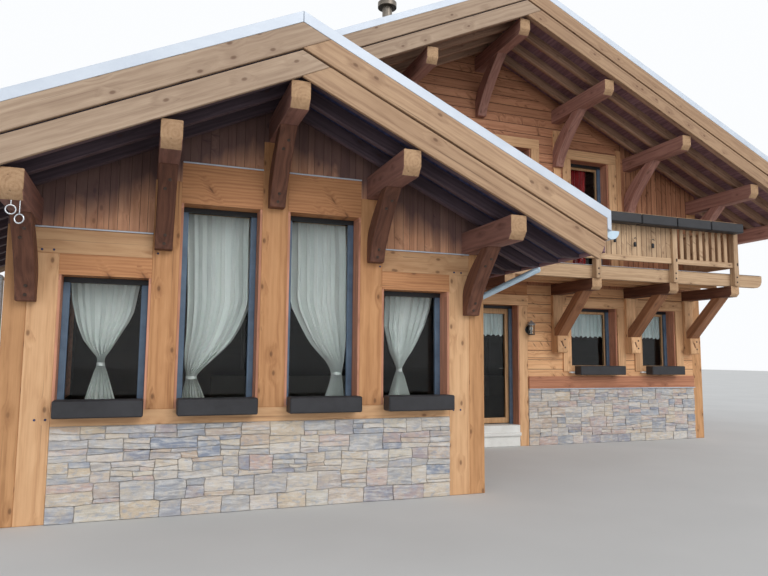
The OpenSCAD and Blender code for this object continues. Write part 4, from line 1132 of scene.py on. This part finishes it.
# Openings as (wall, left edge, sill, width, head)
SMALL, TALL = 0.8575, 0.8495
OPENINGS = [
    (BAY_WALL, SMALL_LEFT[0], SILL_TOP, SMALL, SMALL_HEAD),
    (BAY_WALL, TALL_LEFT[0], SILL_TOP, TALL, TALL_HEAD),
    (BAY_WALL, -TALL_LEFT[1], SILL_TOP, TALL, TALL_HEAD),
    (BAY_WALL, -SMALL_LEFT[1], SILL_TOP, SMALL, SMALL_HEAD)]
OPENINGS += [(BAY_LEFT, -BAY_FRONT * i / 3 - SMALL / 2, SILL_TOP, SMALL, SMALL_HEAD) for i in (1, 2)]
OPENINGS += [
    (FRONT, 6.381, GROUND_SILL, WIDE, GROUND_HEAD), (FRONT, 8.066, GROUND_SILL, NARROW, GROUND_HEAD),
    (FRONT, 6.451, BALCONY_FLOOR, 0.914, 5.5009), (FRONT, 3.35, 4.9499, 2.2, 5.6099),
    (FRONT, DOOR_LEFT, FLOOR, 1.0, GROUND_HEAD)]
OPENINGS += [(wall, HOUSE_DEPTH * i / 4 - NARROW / 2, GROUND_SILL, NARROW, GROUND_HEAD)
    for wall in (LEFT_WALL, RIGHT_WALL) for i in (1, 3)]
OPENINGS += [(BACK_WALL, HOUSE_WIDTH * i / 4 - WIDE / 2, GROUND_SILL, WIDE, GROUND_HEAD) for i in (1, 2, 3)]
OPENINGS += [(BACK_WALL, HOUSE_WIDTH / 2 + (i * 1.69 - NARROW) / 2, 4.1, NARROW, 5.3) for i in (-1, 1)]


def linings():
    """Boards on the sides of each opening, from the wall face to the frame."""
    parts = []
    for wall, left, sill, width, head in OPENINGS:
        for x in (left, left + width - 0.025):
            for low, high, depth in ((sill + 0.0005, head - SHUTTER, 0.2495), (head - SHUTTER, head, 0.2045)):
                board = cube("lining", (x + 0.0004, 0.006, low), (x + 0.0246, depth, high))
                board.data.transform(wall)
                parts.append(board)
    obj = join("window_linings", parts)
    grain_of_timbers(obj, 60, board=True)
    finish_piece(obj, [LINING])


def terrace_door():
    obj = merged_copy("terrace_door", "terrace_door_leaf")
    round_edges(obj, 0.004, 2)
    finish_timber(obj, 61, [JOINERY], "terrace_door", board=True, body="terrace_door")
    face_with(obj, lambda c, n: c.y > 0.3205 or c.x < 4.3005, STEEL)


def lantern():
    """A dark lantern: a silvery hood, six bars round clear glass and a bulb, on an arm from a round plate."""
    x, y, z = 5.447, -0.08, 2.105

    def up(height):
        return (x, y, z + height)

    larger = at(x, 0, z - 0.08) @ Matrix.Diagonal((1.2, 1.2, 1.2, 1)) @ at(-x, 0, 0.08 - z)
    plate = rod("plate", 0.062, (x, 0, z), (x, -0.013, z), 32)
    round_edges(plate, 0.003, 2)
    arm = cube("arm", (x - 0.009, y, z + 0.078), (x + 0.009, -0.008, z + 0.094))
    stem = cube("stem", (x - 0.009, -0.02, z - 0.01), (x + 0.009, -0.008, z + 0.094))
    foot = rod("foot", 0.058, up(-0.08), up(-0.066), 6)
    rim = rod("rim", 0.063, up(0.070), up(0.082), 6)
    for plate_of_six in (foot, rim):
        round_edges(plate_of_six, 0.003)
    put_down()
    bpy.ops.mesh.primitive_cone_add(vertices=6, radius1=0.072, radius2=0.016, depth=0.052, location=up(0.108))
    hood = started("hood")
    edit(hood)
    pick_faces(hood, lambda c, n: n.z > 0.9)
    pull(0, 0, 0.008)
    bpy.ops.transform.resize(value=(0.55, 0.55, 1), center_override=up(0.14))
    put_down()
    round_edges(hood, 0.002)
    bars = []
    for i in range(6):
        turn = math.radians(60 * i)
        low = Vector((x + 0.053 * math.cos(turn), y + 0.053 * math.sin(turn), z - 0.07))
        bars.append(rod("bar", 0.004, low, low + Vector((0, 0, 0.144)), 8))
    cage = join("wall_lamp_lantern", [plate, arm, stem, foot, rim, hood] + bars)
    smooth(cage)
    finish_piece(cage, [BLACK], "wall_lamp")
    face_with(cage, lambda c, n: c.z > z + 0.066 and c.y < y + 0.075, HOOD)
    cage.data.transform(larger)

    put_down()
    bpy.ops.mesh.primitive_cylinder_add(vertices=6, radius=0.050, depth=0.136, location=up(0.002),
        end_fill_type="NOTHING")
    pane = started("wall_lamp_glass")
    thicken(pane, 0.002, 0)
    pane.data.transform(larger)
    finish_piece(pane, [GLASS])

    put_down()
    bpy.ops.mesh.primitive_uv_sphere_add(segments=20, ring_count=12, radius=0.026, location=up(0.015))
    bulb = started("wall_lamp_bulb", (1, 1, 1.35))
    edit(bulb)
    pick_faces(bulb, lambda c, n: c.z < z - 0.012)
    bpy.ops.transform.resize(value=(0.5, 0.5, 1), center_override=up(-0.02))
    put_down()
    join("wall_lamp_bulb", [bulb, rod("socket", 0.013, up(-0.067), up(-0.012), 16)])
    bulb.data.transform(larger)
    smooth(bulb, 50)
    finish_piece(bulb, [WHITE])


def bolt_model():
    """A bolt head on a washer, facing -Y at the origin."""
    washer = rod("washer", 0.017, (0, 0.004, 0), (0, -0.003, 0), 20)
    round_edges(washer, 0.001)
    head = rod("head", 0.0105, (0, 0, 0), (0, -0.010, 0), 6)
    round_edges(head, 0.0015)
    return join("bolt", [washer, head])


def bolts():
    """Four bolts in each brace of the bay, square to its curved face, and six at each balcony bracket."""
    foot_face, reach, bend, height = 0.105, 0.535, 1.4, 0.75
    spots = []
    for x in BAY_PURLINS:
        foot = BAY_RIDGE - (abs(x) + 0.095) * SLOPE - 0.26 - height
        for share, shift in ((0.075, 0.0), (0.185, 0.006), (0.73, -0.02), (0.83, 0.02)):
            face = BAY_FRONT - (foot_face + reach * share ** bend) - 0.001
            lean = math.atan(reach * bend * share ** (bend - 1) / height)
            spots.append(at(x + shift, face, foot + height * share) @ turned(lean, "X"))
    for x in BRACKETS:
        spots += [at(x - 0.004, -1.297, z) for z in (3.06, 3.155)]
        spots += [at(x + 0.02, -1.297, z) for z in (3.385, 3.41)]
        spots += [at(x + 0.05, -0.211, z) for z in (1.80, 1.95)]
    obj = join("bolts_of_the_braces", repeat(bolt_model(), spots))
    smooth(obj, 30)
    finish_piece(obj, [BOLT])


def pegs():
    """Dark oak pegs, a little proud of the posts and rails that they hold."""
    peg = rod("peg", 0.012, (0, 0.006, 0), (0, -0.005, 0), 10)
    round_edges(peg, 0.003)
    places = [(-2.274, 2.618), (-2.169, 2.62), (-1.206, 2.641), (1.229, 2.64), (2.181, 2.62), (2.275, 2.619),
        (-2.157, 0.975), (2.168, 0.981), (-2.25, 0.975), (2.26, 0.981)]
    obj = join("pegs_of_the_posts", repeat(peg, [at(x, BAY_FRONT, z) for x, z in places]))
    finish_timber(obj, 62, [DARK_STAIN_AND_BLUE_SHADE])


def rings():
    """Two bright rings, each on its own hook under the left purlin."""
    y = -4.56
    parts = []
    for x, z, turn in ((-2.378, 2.775, 0.15), (-2.312, 2.703, -0.35)):
        parts.append(rod("hook", 0.0045, (x, y, 2.853), (x, y, z + 0.045), 12))
        put_down()
        bpy.ops.mesh.primitive_torus_add(major_radius=0.038, minor_radius=0.0062, major_segments=32,
            minor_segments=10)
        ring = started("ring")
        ring.data.transform(at(x, y, z) @ turned(turn, "Z") @ turned(math.pi / 2, "X"))
        parts.append(ring)
    obj = join("rings_on_the_purlin", parts)
    smooth(obj, 60)
    finish_piece(obj, [CHROME])


def rail_hooks():
    """Wire hooks under the balcony's top rail, each with a small lantern."""
    y, top = -1.302, 3.86
    parts = []
    for x, size in ((6.388, 1.1), (6.822, 1.35), (7.222, 1.35)):
        put_down()
        bpy.ops.mesh.primitive_circle_add(vertices=8, radius=0.006, location=(x, y, top))
        wire = started("wire")
        edit(wire)
        pick_all()
        pull(0.004, 0, -0.10 * size)
        bpy.ops.mesh.spin(steps=12, angle=math.radians(-200), center=(x + 0.026, y, top - 0.10 * size),
            axis=(0, 1, 0))
        put_down()
        body = cube("body", (x - 0.006, y - 0.020, top - 0.205 * size),
            (x + 0.034, y + 0.014, top - 0.15 * size))
        edit(body)
        pick_faces(body, lambda c, n: n.z > 0.9)
        bpy.ops.mesh.inset(thickness=0.012, depth=0.014)
        put_down()
        round_edges(body, 0.002)
        parts += [wire, body]
    obj = join("rail_hooks_wire", parts)
    smooth(obj, 50)
    finish_piece(obj, [BLACK])


def rim_flashing():
    """A folded strip of metal along the front edge of the balcony's deck."""
    obj = cube("balcony_flashing", (4.225, -1.190, 3.2252), (9.96, -1.09, 3.2285))
    edit(obj)
    pick_faces(obj, lambda c, n: n.y < -0.9)
    pull(0, -0.002, 0)
    pull(0, 0, -0.004)
    put_down()
    round_edges(obj, 0.001)
    finish_piece(obj, [ZINC])


def carve_brackets():
    """A slanted gouge in the face of each bracket's block, its floor painted dark as the shade in it."""
    obj = bpy.data.objects["balcony_brackets_timber"]
    obj.data.materials.append(DARK)
    for x in BRACKETS:
        middle = (x, -0.21, 1.87)
        edit(obj)
        if pick_faces(obj, lambda c, n: n.y < -0.95 and abs(c.x - x) < 0.05 and within(c.z, 1.75, 1.97)
                and c.y < -0.2):
            bpy.ops.mesh.inset(thickness=0.07, use_even_offset=False)
            bpy.ops.transform.resize(value=(0.34, 1, 0.62), center_override=middle)
            bpy.ops.transform.rotate(value=math.radians(24), orient_axis="Y", center_override=middle)
            bpy.ops.mesh.inset(thickness=0.006, depth=-0.014, use_even_offset=False)
            # Painted shade: the gouge's floor gets the dark finish
            obj.active_material_index = 1
            bpy.ops.object.material_slot_assign()
        put_down()


def corbels():
    """Small curved blocks between the wall posts and the beams of the balcony."""
    parts = []
    for x in BRACKETS:
        block = cube("corbel", (x + 0.109, -0.085, 2.60), (x + 0.185, -0.004, 2.789))

        def low_edge(e):
            middle = (e.verts[0].co + e.verts[1].co) / 2
            return middle.x > x + 0.18 and middle.z < 2.62 and abs(middle.y + 0.0445) < 0.01

        edit(block)
        pick(block, "EDGE", low_edge)
        bpy.ops.mesh.bevel(offset=0.07, segments=8, profile=0.22)
        put_down()
        parts.append(block)
    obj = join("balcony_corbels", parts)
    round_edges(obj, 0.003, 1, 40)
    finish_timber(obj, 63, [HONEY])


def gutter_straps():
    """Straps that hold the gutters, each folded over the front edge."""
    strap = cube("strap", (-0.098, -0.012, 0.0), (0.100, 0.012, 0.004))
    edit(strap)
    pick_faces(strap, lambda c, n: n.x > 0.9)
    pull(0.004, 0, 0)
    pull(0, 0, -0.012)
    put_down()
    places = []
    for side in (-1, 1):
        flip = Matrix.Diagonal((side, 1, 1, 1))
        places += [at(side * 3.588, -4.35 + 0.82 * i, 3.0316) @ flip for i in range(6)]
        places += [at(HOUSE_RIDGE_X + side * 6.698, -1.3 + 0.86 * i, 4.5923) @ flip for i in range(14)]
    obj = join("gutter_straps", repeat(strap, places))
    finish_piece(obj, [BLUE_ZINC])


def balcony_door_posts():
    """Two posts that carry the purlins beside the balcony door, half sunk in the wall."""
    obj = join("balcony_door_posts", [cube("post", (6.057, -0.034, 4.865), (6.211, 0.002, 6.03)),
        cube("post", (7.552, -0.040, BALCONY_FLOOR), (7.655, 0.002, 5.80))])
    round_edges(obj, 0.004)
    finish_timber(obj, 64, [LIFTED_BOARDS], board=True)


linings()
balcony_door_posts()
terrace_door()
lantern()
bolts()
pegs()
rings()
rail_hooks()
rim_flashing()
carve_brackets()
corbels()
gutter_straps()


# Curtains

def pleat_height(stretch):
    """The slope of a row of waves whose length is stretch times the row."""
    low, high = 0.0, 80.0
    turn = np.cos(np.linspace(0, 2 * np.pi, 200))
    for _ in range(40):
        middle = (low + high) / 2
        if np.sqrt(1 + (middle * turn) ** 2).mean() < stretch:
            low = middle
        else:
            high = middle
    return low


def curtain(name, rows, width, folds, material, y, seed, hem=None, body="root", levels=64):
    """A curtain of constant width, hung between two edges. Each row is (height, left edge, right edge)."""
    columns = folds * 14
    put_down()
    bpy.ops.mesh.primitive_grid_add(x_subdivisions=columns, y_subdivisions=levels, size=1)
    obj = started(name)
    mesh = obj.data
    co = corner_data(mesh)[0]
    u = co[:, 0] + 0.5
    v = 0.5 - co[:, 1]
    rng = np.random.default_rng(seed)
    heights, lefts, rights = np.array(rows).T
    z = heights[0] + (heights[-1] - heights[0]) * v
    left = np.interp(-z, -heights, lefts)
    right = np.interp(-z, -heights, rights)
    rank, place = np.unique(np.round(z, 6), return_inverse=True)
    spans = np.array([(right - left)[place == i][0] for i in range(len(rank))])
    slopes = np.array([pleat_height(max(1.0, width / s)) for s in spans])
    span, slope = spans[place], slopes[place]
    shift = np.zeros(len(u))
    for k in (1, 2, 3, 5):
        shift += rng.uniform(-1, 1) * 0.22 / k * np.sin(2 * np.pi * k * u + rng.uniform(0, 6))
    phase = 2 * np.pi * (folds * u + shift * np.minimum(1, 4 * u * (1 - u)) * 2)
    swell = 1 + 0.25 * np.sin(2 * np.pi * 1.5 * u + rng.uniform(0, 6))
    depth = slope * span / (2 * np.pi * folds) * swell
    x = left + span * u + 0.12 * span / folds * np.sin(2 * phase + 0.6)
    if hem:
        z = z + hem * np.abs(np.sin(np.pi * u * folds * 0.8)) * np.clip((v - 0.82) / 0.18, 0, 1)
    mesh.vertices.foreach_set("co", np.stack([x, y + depth * np.sin(phase), z], 1).ravel())
    mesh.update()
    store_thread(mesh, np.stack([u * width, v * (heights[0] - heights[-1]), np.zeros(len(u))], 1))
    smooth(obj, 180)
    finish_piece(obj, [material], body=body)


def store_thread(mesh, place):
    """Keeps where each point lies on the flat cloth, for the weave."""
    mesh.attributes.new("thread", "FLOAT_VECTOR", "POINT").data.foreach_set("vector", place.ravel())


def curtain_rail(name, x0, x1, y, z, wall_y, body="root"):
    """A slim rail with a small bracket at each end."""
    parts = [rod("rail", 0.007, (x0, y, z), (x1, y, z), 12)]
    for x in (x0 + 0.012, x1 - 0.012):
        parts.append(cube("bracket", (x - 0.006, min(y, wall_y) - 0.004, z - 0.006),
            (x + 0.006, max(y, wall_y), z + 0.006)))
    obj = join(name, parts)
    smooth(obj, 40)
    finish_piece(obj, [STEEL], body=body)
    return name


def tie_band(name, x0, x1, y, z):
    """A band round a gathered curtain."""
    put_down()
    bpy.ops.mesh.primitive_cylinder_add(vertices=28, radius=1, depth=0.035, location=((x0 + x1) / 2, y, z),
        end_fill_type="NOTHING")
    obj = started(name, ((x1 - x0) / 2 + 0.006, 0.05, 1))
    thicken(obj, 0.003)
    smooth(obj, 50)
    store_thread(obj.data, corner_data(obj.data)[0])
    return finish_piece(obj, [SHEER])


# Gathered curtains of the bay: rail's ends and height, cloth's width, band's ends and height, seed, rows
GATHERED = {
    "small_left": ((-2.13, -1.24, 2.405), 1.20, (-1.75, -1.68, 1.50), 71, [
        (2.40, -2.05, -1.37), (2.34, -2.044, -1.373), (2.16, -2.025, -1.40), (2.05, -2.001, -1.42),
        (1.94, -1.972, -1.465), (1.85, -1.939, -1.515), (1.75, -1.896, -1.57), (1.66, -1.83, -1.62),
        (1.57, -1.754, -1.676), (1.50, -1.75, -1.68), (1.42, -1.78, -1.65), (1.12, -1.86, -1.56)]),
    "small_right": ((1.24, 2.13, 2.405), 1.15, (1.61, 1.66, 1.44), 72, [
        (2.40, 1.438, 2.07), (2.33, 1.437, 2.062), (2.20, 1.435, 2.035), (2.05, 1.433, 1.985),
        (1.97, 1.43, 1.956), (1.876, 1.454, 1.91), (1.755, 1.488, 1.848), (1.66, 1.514, 1.791), (1.562, 1.567, 1.717),
        (1.47, 1.61, 1.66), (1.44, 1.61, 1.66), (1.36, 1.58, 1.70), (1.12, 1.50, 1.78)]),
    "tall_left": ((-1.005, -0.13, 3.205), 1.35, (-0.855, -0.75, 1.36), 73, [
        (3.20, -0.915, -0.205), (2.65, -0.893, -0.198), (2.20, -0.876, -0.195), (2.07, -0.875, -0.231),
        (1.94, -0.874, -0.283), (1.84, -0.874, -0.335), (1.74, -0.88, -0.398), (1.65, -0.884, -0.482),
        (1.55, -0.88, -0.587), (1.48, -0.875, -0.659), (1.40, -0.86, -0.735), (1.36, -0.855, -0.75),
        (1.25, -0.88, -0.70), (1.10, -0.90, -0.64)]),
    "tall_right": ((0.13, 1.005, 3.205), 1.35, (0.785, 0.89, 1.40), 74, [
        (3.20, 0.25, 0.94), (2.75, 0.256, 0.958), (2.27, 0.259, 0.959), (2.15, 0.289, 0.958),
        (2.04, 0.345, 0.957), (1.925, 0.406, 0.956), (1.80, 0.48, 0.954), (1.72, 0.541, 0.945),
        (1.64, 0.615, 0.935), (1.557, 0.70, 0.925), (1.47, 0.76, 0.905), (1.40, 0.785, 0.89), (1.28, 0.76, 0.91), (1.10, 0.70, 0.93)])}


def hung_rows(left, right, *heights):
    return [(height, left, right) for height in heights]


def curtains():
    bay_inside, bay_rail = BAY_FRONT + 0.38, BAY_FRONT + 0.405
    back_inside, back_rail = 8.22, 8.185
    frame_back, sash_rail = 0.3195, 0.338
    for name, ((x0, x1, top), width, (band_x0, band_x1, band_z), seed, rows) in GATHERED.items():
        rail = curtain_rail("rail_of_" + name, x0, x1, bay_rail, top, bay_inside)
        tie = tie_band("tie_" + name, band_x0, band_x1, bay_rail, band_z)
        curtain("curtain_" + name, rows, width, 7, SHEER, bay_rail, seed)
    for number, middle in enumerate((1.8725, 4.45, 7.0275)):
        rail = curtain_rail(f"rail_at_the_back_{number}", middle - 0.60, middle + 0.60,
            back_rail, 2.60, back_inside)
        curtain(f"heavy_curtain_{number}", hung_rows(middle - 0.57, middle + 0.57, 2.595, 1.22), 1.6, 12,
            HEAVY, back_rail, 80 + number, levels=8)
    for name, x0, x1, folds in (("window_1", 6.46, 7.395, 10), ("window_2", 8.145, 8.857, 8)):
        rail = curtain_rail("rail_of_" + name, x0, x1, sash_rail, 2.49, frame_back)
        curtain("half_curtain_" + name, hung_rows(x0 + 0.02, x1 - 0.02, 2.49, 2.005), (x1 - x0) * 1.25, folds,
            LACE, sash_rail, 75, hem=0.035, levels=16)
    rail = curtain_rail("rail_of_the_door", 4.385, 5.108, sash_rail, 2.44, frame_back, "terrace_door")
    curtain("half_curtain_door", hung_rows(4.40, 5.095, 2.44, 2.0), 0.87, 8, LACE, sash_rail, 76,
        hem=0.035, body="terrace_door", levels=16)
    rail = curtain_rail("rail_of_the_balcony_door", 6.52, 7.30, 0.345, 5.42, frame_back)
    curtain("curtain_red", [(5.42, 6.55, 7.08), (4.9, 6.55, 7.05), (4.2, 6.55, 7.03), (3.26, 6.55, 7.04)],
        0.95, 8, RED_CLOTH, 0.352, 77, levels=24)


curtains()


# Floor, light and camera

def sun(name, energy, spread, colour, direction):
    light = bpy.data.lights.new(name, "SUN")
    light.energy = energy
    light.angle = math.radians(spread)
    light.color = colour
    lamp = bpy.data.objects.new(name, light)
    lamp.rotation_euler = Vector(direction).to_track_quat("Z", "Y").to_euler()
    bpy.context.scene.collection.objects.link(lamp)


def studio():
    put_down()
    bpy.ops.mesh.primitive_plane_add(size=160, location=(3, 2, -0.002))
    floor = started("studio_floor")
    f = Finish("pale studio floor")
    f.colour(f.ramp(f.noise(f.place(), 0.6, 2.0), (0.3, (0.60, 0.60, 0.59, 1)), (0.7, (0.64, 0.64, 0.63, 1))))
    f.roughness(0.9)
    floor.data.materials.append(f.material)

    scene = bpy.context.scene
    scene.world = bpy.data.worlds.new("studio")
    w = Nodes(scene.world)
    path = w.add("ShaderNodeLightPath").outputs
    seen = w.sum("MAXIMUM", path["Is Camera Ray"], path["Is Glossy Ray"])
    through_glass = w.sum("MAXIMUM", seen, path["Is Transmission Ray"])
    height = w.parts(w.add("ShaderNodeTexCoord").outputs["Generated"], "Z")[0]
    soft = w.fill(w.add("ShaderNodeBackground"),
        {"Color": (0.93, 0.96, 1.0, 1), "Strength": w.spread(height, 0.0, 1.0, 1.12, 0.50)}).outputs[0]
    pale = w.fill(w.add("ShaderNodeBackground"), {"Color": (0.97, 0.985, 1.0, 1), "Strength": 1.0}).outputs[0]
    mixed = w.fill(w.add("ShaderNodeMixShader"), {0: through_glass, 1: soft, 2: pale}).outputs[0]
    w.link(mixed, w.add("ShaderNodeOutputWorld").inputs[0])

    sun("high soft lamp", 1.08, 34, (1.0, 0.975, 0.95), (0.34, -1.0, 0.66))
    sun("low soft lamp", 0.62, 50, (0.92, 0.95, 1.0), (-0.85, -1.0, 0.12))

    lens = bpy.data.cameras.new("eye level")
    lens.lens = 30.70
    lens.sensor_width = 36
    lens.clip_end = 300
    camera = bpy.data.objects.new("eye level", lens)
    camera.matrix_world = (at(-1.331, -10.554, 1.6) @ turned(math.radians(-20.261), "Z")
        @ turned(math.radians(95.996), "X") @ turned(math.radians(0.45), "Z"))
    scene.collection.objects.link(camera)
    scene.camera = camera
    scene.view_settings.view_transform = "Standard"


studio()
put_down()
